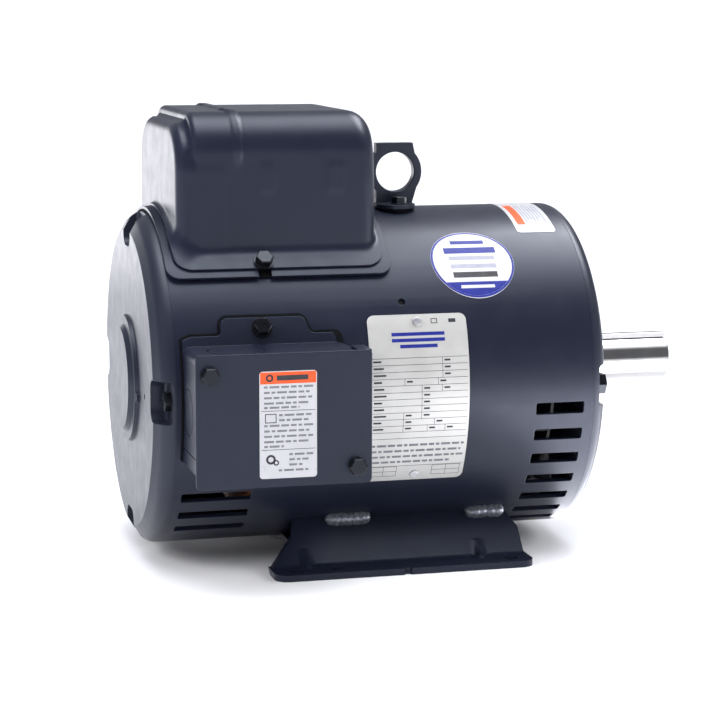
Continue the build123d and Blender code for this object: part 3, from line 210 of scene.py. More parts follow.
def shaft_material():
    """Ground steel: fine rings round the shaft, and a faint oil haze."""
    material, tree = blank_material("ground_shaft_steel")
    rings = noise(tree, place_vector(tree, (1, 0.02, 0.02)), 0.0002, 2.0)
    haze = noise(tree, place_vector(tree), 0.02, 3.0)
    colour = mix_colour(tree, spread(tree, haze, 0, 1), (0.40, 0.395, 0.39), (0.50, 0.495, 0.49))
    gloss = spread(tree, rings, 0.09, 0.17)
    normal = bump(tree, rings, 0.000004, normal=soft_edges(tree, 0.0003))
    return principled(material, tree, colour, gloss, normal, Metallic=1.0)


def lamination_material():
    """Stacked sheets, half a millimetre each."""
    material, tree = blank_material("stacked_laminations")
    here = place_vector(tree)
    wave = node(tree, "ShaderNodeTexWave", wave_type="BANDS", bands_direction="X", Scale=1 / 0.0016)
    tree.links.new(here, wave.inputs["Vector"])
    colour = mix_colour(tree, wave.outputs["Fac"], (0.10, 0.10, 0.11), (0.26, 0.26, 0.27))
    normal = bump(tree, wave.outputs["Fac"], 0.0001)
    gloss = spread(tree, noise(tree, here, 0.01), 0.42, 0.60)
    return principled(material, tree, colour, gloss, normal, Metallic=0.9)


def winding_material():
    """Varnished wire bundles: strands that run round the end turns."""
    material, tree = blank_material("varnished_windings")
    here = place_vector(tree)
    wave = node(tree, "ShaderNodeTexWave", wave_type="RINGS", rings_direction="X", Scale=1 / 0.0065,
                Distortion=3.0)
    wave.inputs["Detail"].default_value = 2.0
    tree.links.new(here, wave.inputs["Vector"])
    colour = mix_colour(tree, wave.outputs["Fac"], (0.10, 0.028, 0.010), (0.34, 0.12, 0.04))
    normal = bump(tree, wave.outputs["Fac"], 0.0006)
    gloss = spread(tree, noise(tree, here, 0.01), 0.25, 0.45)
    return principled(material, tree, colour, gloss, normal, Metallic=0.55)


def plate_material():
    """Satin printed aluminium, brushed along the shaft."""
    material, tree = blank_material("nameplate_aluminium")
    lines = noise(tree, place_vector(tree, (0.03, 1, 1)), 0.0006, 3.0)
    cloud = noise(tree, place_vector(tree), 0.03, 3.0)
    colour = mix_colour(tree, spread(tree, cloud, 0, 1), (0.44, 0.435, 0.415), (0.53, 0.525, 0.505))
    gloss = spread(tree, lines, 0.36, 0.50)
    return principled(material, tree, colour, gloss, bump(tree, lines, 0.00001), Metallic=0.35)


def floor_material():
    """Plain pale studio floor with a slight unevenness of tone."""
    material, tree = blank_material("studio_floor")
    cloud = noise(tree, place_vector(tree), 0.6, 2.0)
    colour = mix_colour(tree, spread(tree, cloud, 0, 1), (0.86, 0.86, 0.88), (0.88, 0.88, 0.90))
    return principled(material, tree, colour, 0.55)


ink_gloss = {"Specular IOR Level": 0.15}
materials = {
    "slate_paint": paint_material("slate_paint_sheet", (0.0075, 0.0090, 0.0190), (0.0095, 0.0115, 0.0230),
                                  0.0016, 0.000012),
    "slate_paint_cast": paint_material("slate_paint_casting", (0.0110, 0.0125, 0.0220),
                                       (0.0140, 0.0160, 0.0270), 0.0011, 0.00006),
    "shaft_steel": shaft_material(),
    "black_screw": surface("black_oxide", (0.002, 0.002, 0.003), (0.005, 0.0055, 0.007), (0.18, 0.28),
                           size=0.004, grain=0.0006, depth=0.00001, edge=0.0005,
                           **{"Specular IOR Level": 0.34, "Specular Tint": (0.82, 0.89, 1.0, 1)}),
    "lamination": lamination_material(),
    "copper": winding_material(),
    "cast_aluminium": surface("cast_aluminium", (0.42, 0.42, 0.44), (0.60, 0.60, 0.62), (0.35, 0.55),
                              size=0.01, grain=0.001, depth=0.00005, Metallic=0.9),
    "bearing_steel": surface("bearing_steel", (0.55, 0.55, 0.56), (0.68, 0.68, 0.69), (0.08, 0.16),
                             size=0.01, grain=0.0004, depth=0.000002, Metallic=1.0),
    "black_plastic": surface("moulded_black", (0.012, 0.012, 0.013), (0.022, 0.022, 0.024), (0.38, 0.52),
                             size=0.01, grain=0.0008, depth=0.00002),
    "insulation_board": surface("insulation_board", (0.16, 0.080, 0.036), (0.26, 0.14, 0.065), (0.40, 0.58),
                                size=0.004, grain=0.0007, depth=0.00003, stretch=(1, 1, 4)),
    "gasket_rubber": surface("black_rubber", (0.0018, 0.0018, 0.0024), (0.004, 0.004, 0.005), (0.65, 0.85),
                             size=0.006, grain=0.0008, depth=0.00003,
                             **{"Specular IOR Level": 0.12, "Specular Tint": (0.82, 0.89, 1.0, 1)}),
    "label_white": surface("label_stock", (0.45, 0.45, 0.47), (0.50, 0.50, 0.51), (0.26, 0.34),
                           size=0.02, grain=0.002, depth=0.000004, edge=0),
    "nameplate_aluminium": plate_material(),
    "brass_terminal": surface("brass", (0.52, 0.36, 0.14), (0.68, 0.50, 0.22), (0.22, 0.36),
                              size=0.006, grain=0.0006, depth=0.00001, Metallic=1.0),
    "zinc_steel": surface("zinc_plate", (0.42, 0.42, 0.40), (0.60, 0.60, 0.58), (0.25, 0.42),
                          size=0.008, grain=0.0008, depth=0.00001, Metallic=1.0),
    "spring_steel": surface("spring_steel", (0.30, 0.30, 0.31), (0.45, 0.45, 0.46), (0.22, 0.36),
                            size=0.006, grain=0.0006, depth=0.00001, Metallic=1.0),
    "ground_green": surface("green_dyed_steel", (0.010, 0.11, 0.030), (0.020, 0.20, 0.055), (0.28, 0.42),
                            size=0.004, grain=0.0006, depth=0.00001, Metallic=0.6),
    "capacitor_can": surface("drawn_can", (0.55, 0.55, 0.56), (0.68, 0.68, 0.69), (0.22, 0.36),
                             size=0.02, grain=0.0008, depth=0.00001, stretch=(0.2, 1, 1), Metallic=1.0),
    "print_dark": surface("dark_ink", (0.030, 0.030, 0.034), (0.050, 0.050, 0.056), (0.35, 0.50),
                          size=0.006, grain=0.0008, depth=0.000002, edge=0, **ink_gloss),
    "print_grey": surface("grey_ink", (0.15, 0.15, 0.17), (0.20, 0.20, 0.22), (0.35, 0.50),
                          size=0.006, grain=0.0008, depth=0.000002, edge=0, **ink_gloss),
    "print_pale": surface("pale_ink", (0.27, 0.28, 0.33), (0.32, 0.33, 0.38), (0.32, 0.44),
                          size=0.006, grain=0.0008, depth=0.000002, edge=0, **ink_gloss),
    "print_blue": surface("blue_ink", (0.014, 0.020, 0.17), (0.022, 0.032, 0.22), (0.30, 0.42),
                          size=0.006, grain=0.0008, depth=0.000002, edge=0, **ink_gloss),
    "print_orange": surface("orange_ink", (0.70, 0.085, 0.025), (0.78, 0.11, 0.035), (0.30, 0.42),
                            size=0.006, grain=0.0008, depth=0.000002, edge=0, **ink_gloss),
    # weld beads: a colour much paler than the slate paint, spotted light and dark, as painted glints on the
    # glossy lumps
    "weld": surface("weld_paint_with_painted_glints", (0.075, 0.080, 0.10), (0.20, 0.205, 0.23), (0.14, 0.26),
                    size=0.002, grain=0.0009, depth=0.00014, Metallic=0.5),
}
castings = ("ode_bracket", "de_bracket", "lifting_lug")


def dress_nodes():
    """Gives every CAD node the finish of its material slot."""
    for row in frame["record"]["subparts"]:
        name = row["node"]
        finish = row["material_slot"]
        if name in castings:
            finish = "slate_paint_cast"
        # the weld beads take the pale finish with painted glints instead of their paint slot
        if name == "weld_beads":
            finish = "weld"
        mesh = frame["nodes"][name].data
        mesh.materials.clear()
        mesh.materials.append(materials[finish])


# ------------------------------------------------------------------ light and floor
def add_area_light(name, place, target, size, power, colour=(1, 1, 1), seen_by="all"):
    """A soft box of width and height size in metres, aimed at a point, which the camera doesn't see.

    seen_by is "all", "gloss" for a box that only reflects, or "diffuse" for one that never reflects.
    """
    data = bpy.data.lights.new(name, "AREA")
    data.shape = "RECTANGLE"
    data.size, data.size_y = size
    data.energy = power
    data.color = colour
    lamp = bpy.data.objects.new(name, data)
    lamp.location = place
    lamp.rotation_euler = (Vector(target) - Vector(place)).to_track_quat("-Z", "Y").to_euler()
    lamp.visible_camera = False
    lamp.visible_diffuse = seen_by != "gloss"
    lamp.visible_glossy = seen_by != "diffuse"
    bpy.context.scene.collection.objects.link(lamp)


def add_world():
    """Surrounding light: bright overhead, dim round the sides, paler behind and along the horizon."""
    world = bpy.data.worlds.new("studio")
    bpy.context.scene.world = world
    world.use_nodes = True
    tree = world.node_tree
    tree.nodes.clear()
    where = node(tree, "ShaderNodeTexCoord")
    split = node(tree, "ShaderNodeSeparateXYZ")
    tree.links.new(where.outputs["Generated"], split.inputs["Vector"])
    rise = spread(tree, split.outputs["Z"], 0.0, 2.85, 0.74, 1.0)
    squared = node(tree, "ShaderNodeMath", operation="MULTIPLY")
    tree.links.new(rise, squared.inputs[0])
    tree.links.new(rise, squared.inputs[1])
    overhead = squared.outputs[0]
    height = node(tree, "ShaderNodeMath", operation="ABSOLUTE")
    tree.links.new(split.outputs["Z"], height.inputs[0])
    horizon = spread(tree, height.outputs[0], 1.1, 0.0, 0.02, 0.05)
    behind = spread(tree, split.outputs["Y"], 0.22, 0.42, 0.3, 1.0)
    total = node(tree, "ShaderNodeMath", operation="ADD")
    tree.links.new(overhead, total.inputs[0])
    tree.links.new(horizon, total.inputs[1])
    level = node(tree, "ShaderNodeMath", operation="ADD")
    tree.links.new(total.outputs[0], level.inputs[0])
    tree.links.new(behind, level.inputs[1])
    background = node(tree, "ShaderNodeBackground")
    background.inputs["Color"].default_value = (0.95, 0.97, 1.03, 1)
    tree.links.new(level.outputs[0], background.inputs["Strength"])
    output = node(tree, "ShaderNodeOutputWorld")
    tree.links.new(background.outputs["Background"], output.inputs["Surface"])


def add_studio():
    """Floor, surrounding light and soft boxes."""
    half = 60.0
    mesh = bpy.data.meshes.new("floor")
    corners = [(-half, -half, 0), (half, -half, 0), (half, half, 0), (-half, half, 0)]
    mesh.from_pydata(corners, [], [(0, 1, 2, 3)])
    mesh.materials.append(floor_material())
    floor = bpy.data.objects.new("floor", mesh)
    bpy.context.scene.collection.objects.link(floor)
    add_world()
    cool = (0.95, 0.95, 1.0)
    add_area_light("panel_behind", (-0.62, 1.0, 0.215), (-0.2, 0, 0.215), (0.90, 0.34), 2.6,
                   (0.97, 0.96, 1.0))
    # two panels that only show in the gloss of the paint
    add_area_light("panel_overhead", (0.82, 0.28, 1.35), (0.1, 0, 0.2), (1.0, 0.55), 22.0, cool, "gloss")
    add_area_light("panel_low", (0.445, -0.28, 0.01), (0.445, -0.28, 1.0), (0.65, 0.50), 7.2,
                   (0.93, 0.93, 1.0), "gloss")
    # fills that only lift the shadows
    add_area_light("fill_front", (-0.1, -1.25, 0.28), (0, 0, 0.02), (2.0, 0.4), 1.2, seen_by="diffuse")
    add_area_light("fill_left", (-1.25, -0.55, 0.85), (-0.1, 0, 0), (0.8, 0.8), 18.0, seen_by="diffuse")
    add_area_light("fill_right", (1.30, -0.40, 0.80), (0.1, 0, 0), (0.8, 0.8), 18.0, seen_by="diffuse")
    scene = bpy.context.scene
    scene.view_settings.view_transform = "Standard"
    scene.view_settings.look = "None"
    scene.view_settings.exposure = 0.0


# ------------------------------------------------------------------ mesh helpers
def add_piece(name, verts, faces, material, body="frame", sharp=None):
    """A smooth-shaded mesh in the row frame. sharp is an angle in degrees above which edges stay crisp."""
    mesh = bpy.data.meshes.new(name)
    mesh.from_pydata([tuple(v) for v in verts], [], faces)
    mesh.validate()
    mesh.polygons.foreach_set("use_smooth", [True] * len(mesh.polygons))
    if sharp is not None:
        mesh.set_sharp_from_angle(angle=math.radians(sharp))
    mesh.materials.append(material)
    piece = bpy.data.objects.new(name, mesh)
    bpy.context.scene.collection.objects.link(piece)
    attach(piece, body)
    return piece


def ring_faces(rings, count):
    """Quads between closed rings of count points each, plus a face over the last ring."""
    faces = []
    for ring in range(rings - 1):
        for i in range(count):
            j = (i + 1) % count
            faces.append((ring * count + i, ring * count + j, (ring + 1) * count + j, (ring + 1) * count + i))
    faces.append(tuple((rings - 1) * count + i for i in range(count)))
    return faces


# ------------------------------------------------------------------ capacitor cover
def ramp(value, low, high):
    """Smooth step from 0 at low to 1 at high. Works on arrays."""
    t = np.clip((value - low) / (high - low), 0, 1)
    return t * t * (3 - 2 * t)


def band(value, low, high, soft):
    """1 between low and high, with soft sides."""
    return ramp(value, low - soft, low) * (1 - ramp(value, high, high + soft))


def round_corner(first, second, radius):
    """Distance to the overlap of two shapes, with the corner between them rounded."""
    u = np.maximum(first + radius, 0)
    v = np.maximum(second + radius, 0)
    return np.minimum(np.maximum(first, second), -radius) + np.hypot(u, v)


def soft_join(first, second, reach):
    """Distance to both shapes together, with a fillet of about this reach."""
    h = np.maximum(reach - np.abs(first - second), 0) / reach
    return np.minimum(first, second) - h * h * reach / 4


def tunnel(y, z, half_width, top, radius):
    """Distance to a long block with rounded shoulders."""
    across = np.abs(y) - (half_width - radius)
    above = z - (top - radius)
    outside = np.hypot(np.maximum(across, 0), np.maximum(above, 0))
    return np.minimum(np.maximum(across, above), 0) + outside - radius


cover_top = cover_high.z / MM
cover_left = cover_low.x / MM
cover_right = cover_high.x / MM
dome_half_y = 70.0
dome_left = cover_left + 3.5
dome_right = cover_right - 2.8
dome_step = dome_left + 10.0
flange_r = shell_r / MM + 5.1
flange_half_angle = math.radians(45.8)


def cover_distance(p):
    """Signed distance in millimetres to the drawn outside of the cover, at points p."""
    x, y, z = p[:, 0], p[:, 1], p[:, 2]
    main = tunnel(y, z, dome_half_y, cover_top - 1.35, 25.0)
    # a raised cross bead near the step, and shallow upright pads on the walls
    main = main - 1.3 * band(x, -101.5, -97.5, 1.3) * ramp(z, 252, 264)
    pads = band(x, -84.5, -77.5, 2.5) + band(x, -42.5, -33.5, 2.5)
    main = main - 0.25 * pads * band(z, 240, 252, 6.0)
    main = round_corner(main, x - dome_right, 9.0 + 6.0 * ramp(z, 240, 282))
    main = round_corner(main, dome_step - x, 4.0)
    # the end bump, a rounded bead lower than the main dome, and the wall that runs past it
    bump_block = tunnel(y, z, dome_half_y, cover_top - 7.5, 30.0)
    bump_block = round_corner(bump_block, dome_left - x, 8.0)
    bump_block = round_corner(bump_block, x - (dome_step + 0.5), 6.0)
    wall = tunnel(y, z, dome_half_y, cover_top - 17.5, 20.0)
    wall = round_corner(wall, dome_left - x, 8.0)
    wall = np.maximum(wall, x - (dome_step + 20))
    distance = soft_join(main, np.minimum(bump_block, wall), 0.8)
    flange = np.hypot(y, z - axis_z / MM) - flange_r
    reach = 3.0 + 9.0 * (1 - ramp(x, dome_left - 3, dome_left + 18)) * ramp(np.abs(y), 25, 62)
    return soft_join(distance, flange, reach)


def spaced_along(count):
    """Shares from 0 to 1 along the cover from right to left, closer together near the step."""
    place = np.linspace(0, 1, 400)
    step = (dome_right - dome_step) / (dome_right - dome_left)
    dense = np.cumsum(1 + 2.2 * np.exp(-((place - step) / 0.05) ** 2))
    dense = (dense - dense[0]) / (dense[-1] - dense[0])
    return np.interp((np.arange(count) + 0.5) / count, dense, place)


def rounded_loop(centre, half_x, half_y, corner, counts):
    """Points round a rounded rectangle, with how far each is towards the long side of its corner."""
    along, across, turn = counts
    spacing = spaced_along(along)
    points, share = [], []
    for sx, sy, start in ((1, -1, -90), (1, 1, 0), (-1, 1, 90), (-1, -1, 180)):
        for k in range(turn):
            t = (k + 0.5) / turn
            angle = math.radians(start + 90 * t)
            points.append((centre[0] + sx * (half_x - corner) + corner * math.cos(angle),
                           centre[1] + sy * (half_y - corner) + corner * math.sin(angle)))
            share.append(1 - t if sx * sy < 0 else t)
        steps = across if sx * sy < 0 else along
        for k in range(steps):
            t = (k + 0.5) / steps
            if sx * sy < 0:
                y0 = sy * (half_y - corner)
                points.append((centre[0] + sx * half_x, centre[1] + y0 * (1 - 2 * t)))
                share.append(0.0)
            else:
                reach = spacing[k] if sx > 0 else 1 - spacing[steps - 1 - k]
                x0 = sx * (half_x - corner)
                points.append((centre[0] + x0 * (1 - 2 * reach), centre[1] + sy * half_y))
                share.append(1.0)
    return np.array(points), np.array(share)


def cover_rings(counts):
    """Closed rings of points near the cover's outside, from the edge of its flange up to its crown."""
    centre = ((cover_left + cover_right) / 2, 0.0)
    base_centre = ((dome_left + dome_right) / 2, 0.0)
    middle_z = axis_z / MM
    edge_half_x = (cover_right - cover_left) / 2
    dome_half_x = (dome_right - dome_left) / 2
    flange_half = flange_half_angle * flange_r
    base_half = math.asin(dome_half_y / flange_r) * flange_r
    flange_levels, wall_levels, shoulder_levels, crown_levels = 8, 45, 16, 60
    rings = []
    for level in range(flange_levels + 1):
        t = level / flange_levels
        spot = (centre[0] + (base_centre[0] - centre[0]) * t, 0.0)
        half_x = edge_half_x + (dome_half_x - edge_half_x) * t
        half_y = flange_half + (base_half - flange_half) * t
        outline, _ = rounded_loop(spot, half_x, half_y, 12.0 - 2 * t, counts)
        angle = outline[:, 1] / flange_r
        rings.append(np.column_stack((outline[:, 0], flange_r * np.sin(angle),
                                      middle_z + flange_r * np.cos(angle))))
    outline, share = rounded_loop(base_centre, dome_half_x, dome_half_y, 10.0, counts)
    foot_z = middle_z + np.sqrt(flange_r ** 2 - outline[:, 1] ** 2)
    shoulder = 10.0 + 15.0 * share
    for level in range(1, wall_levels + 1):
        height = foot_z + (cover_top - shoulder - foot_z) * level / wall_levels
        rings.append(np.column_stack((outline, height)))
    for level in range(1, shoulder_levels + 1):
        turn = math.radians(90 * level / shoulder_levels)
        inward = shoulder * (1 - math.cos(turn))
        scale = 1 - inward[:, None] / np.array([[dome_half_x, dome_half_y]])
        rolled = np.array(base_centre) + (outline - np.array(base_centre)) * scale
        rings.append(np.column_stack((rolled, cover_top - shoulder * (1 - math.sin(turn)))))
    last = rings[-1]
    for level in range(1, crown_levels):
        t = 1 - (level / crown_levels) ** 1.35
        rings.append(np.column_stack((base_centre[0] + (last[:, 0] - base_centre[0]) * t, last[:, 1] * t,
                                      np.full(len(last), cover_top))))
    return np.array(rings)


def settle(rings, rounds):
    """Moves points onto the cover's surface, evening them out between rounds. The edge ring stays."""
    def onto_surface(points):
        step = 0.01
        for _ in range(3):
            value = cover_distance(points)
            moved = [cover_distance(points + step * axis) - value for axis in np.eye(3)]
            slope = np.stack(moved, 1) / step
            points = points - (value / np.maximum((slope ** 2).sum(1), 0.05))[:, None] * slope
        return points

    shape = rings.shape
    rings[1:] = onto_surface(rings[1:].reshape(-1, 3)).reshape(rings[1:].shape)
    for _ in range(rounds):
        even = rings.copy()
        around = (np.roll(rings, 1, 1) + np.roll(rings, -1, 1)) / 2
        even[1:-1] = 0.5 * rings[1:-1] + 0.25 * (rings[2:] + rings[:-2]) / 2 + 0.25 * around[1:-1]
        even[1:] = onto_surface(even[1:].reshape(-1, 3)).reshape(even[1:].shape)
        rings = even
    return rings.reshape(shape)


def thicken(rings, thickness):
    """Closed sheet: the rings outside, the same rings moved inwards, and a rim between."""
    levels, count, _ = rings.shape
    across = np.roll(rings, -1, 1) - np.roll(rings, 1, 1)
    up = np.empty_like(rings)
    up[1:-1] = rings[2:] - rings[:-2]
    up[0] = rings[1] - rings[0]
    up[-1] = rings[-1] - rings[-2]
    normal = np.cross(across, up)
    normal /= np.maximum(np.linalg.norm(normal, axis=2, keepdims=True), 1e-9)
    inner = rings - thickness * normal
    outside = rings.reshape(-1, 3)
    inside = inner.reshape(-1, 3)
    shift = len(outside)
    faces = ring_faces(levels, count)
    faces += [tuple(shift + i for i in reversed(face)) for face in ring_faces(levels, count)]
    for i in range(count):
        j = (i + 1) % count
        faces.append((j, i, shift + i, shift + j))
    return np.vstack((outside, inside)), faces


def build_capacitor_cover():
    """Drawn sheet cover with rounded shoulders, an end bump and a flared flange."""
    rings = settle(cover_rings((112, 84, 12)), 4)
    verts, faces = thicken(rings, 1.5)
    piece = add_piece("capacitor_cover_drawn", verts * MM, faces, materials["slate_paint"],
                      sharp=50)
    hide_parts("capacitor_cover")


# ------------------------------------------------------------------ gussets of the rails
def gusset(x, side, foot, lean):
    """A ridge pressed in the bend between a rail's wall and its foot, which fades out sideways.

    foot is the (distance from the middle plane, height) of the bend in millimetres, and lean how far
    the wall draws in for each millimetre of height.
    """
    up, out, half_width, ridge_width = 10.5, 6.0, 7.0, 2.7
    wall_share = 0.6            # part of the rows that run down the wall, the rest run out on the foot
    stands, sinks = 0.05, 0.40  # how far the skin stands out of the steel, and sinks into it at its edge
    top = np.array((foot[0] - lean * up, foot[1] + up))
    corner = np.array(foot)
    end = np.array((foot[0] + out, foot[1]))
    wall_normal = np.array((1.0, lean)) / math.hypot(1.0, lean)
    pull = corner * 0.35 + (top + end) / 2 * 0.65
    rows, columns = 25, 33
    front, back = [], []
    for i in range(rows):
        t = i / (rows - 1)
        if t < wall_share:
            base = top + (corner - top) * (t / wall_share)
            normal = wall_normal
        else:
            base = corner + (end - corner) * ((t - wall_share) / (1 - wall_share))
            normal = np.array((0.0, 1.0))
        ridge = top * (1 - t) ** 2 + pull * 2 * t * (1 - t) + end * t ** 2
        for j in range(columns):
            u = half_width * (2 * j / (columns - 1) - 1)
            swell = math.exp(-(u / ridge_width) ** 2)
            edge = min(1.0, (half_width - abs(u)) / 2.5, t * 12, (1 - t) * 12)
            spot = base + (ridge - base) * swell + normal * ((stands + sinks) * edge - sinks)
            sunk = base - normal * 1.6
            front.append((x + u, side * spot[0], spot[1]))
            back.append((x + u, side * sunk[0], sunk[1]))
    faces = []
    shift = rows * columns
    for i in range(rows - 1):
        for j in range(columns - 1):
            a = i * columns + j
            faces.append((a, a + 1, a + columns + 1, a + columns))
            faces.append((shift + a, shift + a + columns, shift + a + columns + 1, shift + a + 1))
    rim = list(range(columns - 1))
    rim += [i * columns + columns - 1 for i in range(rows - 1)]
    rim += [rows * columns - 1 - j for j in range(columns - 1)]
    rim += [i * columns for i in range(rows - 1, 0, -1)]
    for k, a in enumerate(rim):
        b = rim[(k + 1) % len(rim)]
        faces.append((b, a, shift + a, shift + b))
    if side > 0:
        faces = [tuple(reversed(face)) for face in faces]
    return np.array(front + back), faces


def build_gussets():
    """Two gussets on each rail, over the pressed darts of the base."""
    foot_y = (rail_high.y - rail_low.y) / 2 / MM - rail_foot
    for name, x, side in (("front_left", -60, -1), ("front_right", 53, -1), ("back_left", -60, 1),
                          ("back_right", 53, 1)):
        verts, faces = gusset(x, side, (foot_y, plate_thickness), wall_lean)
        add_piece("rail_gusset_" + name, verts * MM, faces, materials["slate_paint"],
                  sharp=40)


# ------------------------------------------------------------------ printed marks
def on_cylinder(x, angle, radius):
    """A mapping from a label's own (u, v, height), in millimetres, onto a cylinder about the shaft."""
    def place(u, v, height):
        turn = math.radians(angle) + v / radius
        reach = radius + height
        return (x + u, -reach * math.cos(turn), axis_z / MM + reach * math.sin(turn))
    return place


def on_front(x, z, y):
    """The same for a flat label on an upright face that looks towards -Y."""
    def place(u, v, height):
        return (x + u, y - height, z + v)
    return place


class Marks:
    """Gathers thin closed slabs of ink that stand just proud of a label."""
    sunk, proud = -0.03, 0.035

    def __init__(self, place):
        self.place = place
        self.verts = []
        self.faces = []

    def strip(self, first, second, closed=False):
        """A slab between two rows of (u, v) points."""
        base = len(self.verts)
        count = len(first)
        for height in (self.sunk, self.proud):
            for row in (first, second):
                self.verts += [self.place(u, v, height) for u, v in row]
        for i in range(count if closed else count - 1):
            j = (i + 1) % count
            low_a, low_b = base + i, base + j
            up = 2 * count
            self.faces.append((low_a + up, low_b + up, low_b + up + count, low_a + up + count))
            self.faces.append((low_a, low_a + count, low_b + count, low_b))
            self.faces.append((low_a, low_b, low_b + up, low_a + up))
            self.faces.append((low_b + count, low_a + count, low_a + up + count, low_b + up + count))
        if not closed:
            self.faces.append((base, base + 2 * count, base + 3 * count, base + count))
            last = base + count - 1
            self.faces.append((last, last + count, last + 3 * count, last + 2 * count))

    def bar(self, u, v, width, height):
        """A rectangle centred at (u, v)."""
        steps = max(2, int(height / 2.5) + 2)
        rows = [v + height * (k / (steps - 1) - 0.5) for k in range(steps)]
        self.strip([(u - width / 2, w) for w in rows], [(u + width / 2, w) for w in rows])

    def frame(self, u, v, width, height, line):
        """The outline of a rectangle."""
        self.bar(u, v + height / 2, width + line, line)
        self.bar(u, v - height / 2, width + line, line)
        self.bar(u - width / 2, v, line, height - line)
        self.bar(u + width / 2, v, line, height - line)

    def ring(self, u, v, inner, outer, steps=64):
        """A round band. An inner radius near 0 makes a disc."""
        turns = [2 * math.pi * k / steps for k in range(steps)]
        self.strip([(u + inner * math.cos(t), v + inner * math.sin(t)) for t in turns],
                   [(u + outer * math.cos(t), v + outer * math.sin(t)) for t in turns], closed=True)

    def segment(self, u, v, radius, top, steps=40):
        """The part of a disc below the height top."""
        rows = [-radius + (top + radius) * (k / steps) ** 2 for k in range(1, steps + 1)]
        half = [math.sqrt(max(radius ** 2 - w ** 2, 0)) for w in rows]
        self.strip([(u - h, v + w) for h, w in zip(half, rows)], [(u + h, v + w) for h, w in zip(half, rows)])

    def lines(self, left, right, rows, height, gap=1.1):
        """Rows of bars of uneven length, as greeked copy. Each row is (v, share of the width filled)."""
        for index, (v, fill) in enumerate(rows):
            u = left
            stop = left + (right - left) * fill
            word = 0
            while u < stop - 0.6:
                length = 2.2 + 1.25 * ((index * 5 + word * 3) % 4)
                length = min(length, stop - u)
                self.bar(u + length / 2, v, length, height)
                u += length + gap
                word += 1

    def build(self, name, material):
        verts = [Vector(v) * MM for v in self.verts]
        mesh = bpy.data.meshes.new(name)
        mesh.from_pydata([tuple(v) for v in verts], [], self.faces)
        mesh.validate()
        work = bmesh.new()
        work.from_mesh(mesh)
        bmesh.ops.recalc_face_normals(work, faces=work.faces)
        work.to_mesh(mesh)
        work.free()
        mesh.materials.append(material)
        piece = bpy.data.objects.new(name, mesh)
        bpy.context.scene.collection.objects.link(piece)
        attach(piece, "frame")
        return piece


def print_cover_label():
    """Notice label on the box cover: a coloured head and greeked copy in three fields."""
    centre_x = (label_low.x + label_high.x) / 2 / MM
    centre_z = (label_low.z + label_high.z) / 2 / MM
    place = on_front(centre_x, centre_z, label_low.y / MM)
    half_u = (label_high.x - label_low.x) / 2 / MM
    half_v = (label_high.z - label_low.z) / 2 / MM
    head = Marks(place)
    head.bar(0, half_v - 4.0, 2 * half_u - 0.9, 7.0)
    head.build("cover_label_head", materials["print_orange"])
    ink = Marks(place)
    ink.proud = 0.06
    ink.bar(2.6, half_v - 4.0, 19.0, 3.0)
    ink.ring(-11.2, half_v - 4.0, 1.1, 2.3)
    ink.bar(0, 8.4, 2 * half_u - 2.0, 0.30)
    ink.bar(0, -14.8, 2 * half_u - 2.0, 0.30)
    ink.frame(-10.6, 4.0, 6.4, 5.0, 0.5)
    ink.ring(-10.6, -20.6, 1.6, 2.9)
    ink.ring(-7.4, -22.6, 0.9, 1.7)
    ink.build("cover_label_marks", materials["print_dark"])
    copy = Marks(place)
    copy.lines(-14.6, 15.0, [(22.6, 1.0), (19.4, 0.94), (16.2, 0.98), (13.0, 0.90), (10.4, 0.72)], 1.25)
    copy.lines(-5.6, 15.0, [(5.8, 1.0), (2.8, 0.86)], 1.25)
    copy.lines(-14.6, 15.0, [(-0.4, 1.0), (-3.6, 0.92), (-6.8, 1.0), (-10.0, 0.95), (-12.8, 0.4)], 1.25)
    copy.lines(0.5, 15.0, [(-17.8, 1.0), (-20.9, 0.8), (-24.0, 0.55)], 1.25)
    copy.lines(-6.0, 12.0, [(-27.2, 1.0)], 1.25)
    copy.build("cover_label_copy", materials["print_grey"])


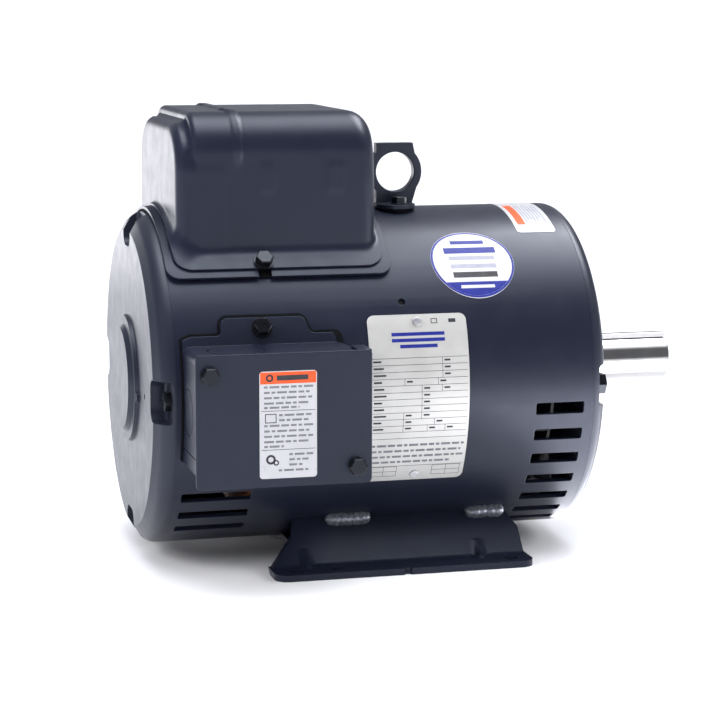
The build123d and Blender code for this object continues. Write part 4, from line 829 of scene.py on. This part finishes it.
def print_nameplate():
    """Rating plate: plain stripes at the top, ruled fields, greeked copy and boxes at the foot."""
    centre_x = (plate_low.x + plate_high.x) / 2 / MM
    half_u = (plate_high.x - plate_low.x) / 2 / MM
    radius = shell_r / MM + 0.5
    place = on_cylinder(centre_x, -2.7, radius)
    stripes = Marks(place)
    for v, width in ((42.4, 34.0), (38.6, 34.0), (34.8, 24.0)):
        stripes.bar(0, v, width, 2.2)
    stripes.build("nameplate_stripes", materials["print_blue"])
    ink = Marks(place)
    rows = [27.6 - 4.25 * k for k in range(13)]
    for v in rows:
        ink.bar(0, v, 2 * half_u - 2.4, 0.26)
    ink.bar(0, rows[-1] - 20.0, 2 * half_u - 2.4, 0.26)
    dividers = ((0, (14.5,)), (1, (14.5,)), (2, (14.5,)), (3, (-10.0, 11.5)), (4, (1.0, 14.0)), (5, (1.0,)),
                (6, (1.0,)), (7, (1.0,)), (8, (-10.5, 1.0)), (9, (-10.5, 9.5)), (10, (-10.5, 5.0, 16.5)))
    for row, places in dividers:
        for u in places:
            ink.bar(u, (rows[row] + rows[row + 1]) / 2, 0.26, 4.0)
            ink.bar(u + 3.2, rows[row] - 1.9, 3.8, 1.1)
    for row in range(11):
        ink.bar(-half_u + 4.6 + 0.7 * (row % 3), rows[row] - 1.9, 5.2 + 1.4 * (row % 3), 1.1)
    for u, width in ((-20.5, 17.0), (20.0, 18.0)):
        ink.frame(u, -47.6, width, 7.4, 0.26)
        ink.bar(u, -47.6, 0.26, 7.4)
        ink.bar(u, -47.6, width, 0.26)
    ink.frame(11.0, 50.4, 3.6, 2.8, 0.5)
    ink.bar(22.6, 50.4, 4.6, 2.4)
    ink.build("nameplate_rules", materials["print_dark"])
    copy = Marks(place)
    copy.lines(-half_u + 2.0, half_u - 2.0, [(-28.2, 1.0), (-32.2, 0.97), (-36.2, 1.0), (-40.2, 0.86)], 1.5)
    copy.build("nameplate_copy", materials["print_grey"])


def print_side_sticker():
    """Round sticker: a blue rim, a blue foot and plain bars."""
    centre_x = (sticker_low.x + sticker_high.x) / 2 / MM
    radius = (sticker_high.x - sticker_low.x) / 2 / MM
    place = on_cylinder(centre_x, 46.5, shell_r / MM + 0.2)
    blue = Marks(place)
    blue.ring(0, 0, radius - 1.5, radius - 0.1)
    blue.segment(0, 0, radius - 1.6, -15.5)
    blue.bar(0, 17.0, 22.0, 3.4)
    blue.bar(0, 9.6, 34.0, 5.2)
    blue.build("side_sticker_blue", materials["print_blue"])
    ink = Marks(place)
    ink.bar(0, -10.2, 29.0, 4.2)
    ink.build("side_sticker_bar", materials["print_dark"])
    pale = Marks(place)
    pale.bar(0, 3.0, 30.0, 3.4)
    pale.bar(0, -3.6, 30.0, 3.4)
    pale.build("side_sticker_pale", materials["print_pale"])
    white = Marks(place)
    white.proud = 0.06
    white.bar(0, -19.0, 22.0, 2.2)
    white.build("side_sticker_foot", materials["label_white"])


def print_top_label():
    """Label over the drive end: a coloured stripe round the body and greeked lines beside it."""
    centre_x = (tag_low.x + tag_high.x) / 2 / MM
    place = on_cylinder(centre_x, 80.25, shell_r / MM + 0.2)
    head = Marks(place)
    head.bar(-7.6, -9.5, 5.4, 36.0)
    head.build("top_label_stripe", materials["print_orange"])
    pale = Marks(place)
    for k in range(7):
        pale.bar(-3.0 + 2.1 * k, -9.0 + 1.5 * (k % 2), 0.9, 33.0 - 5.0 * (k % 3))
    pale.build("top_label_lines", materials["print_pale"])


add_camera()
dress_nodes()
build_capacitor_cover()
build_gussets()
print_cover_label()
print_nameplate()
print_side_sticker()
print_top_label()
add_studio()
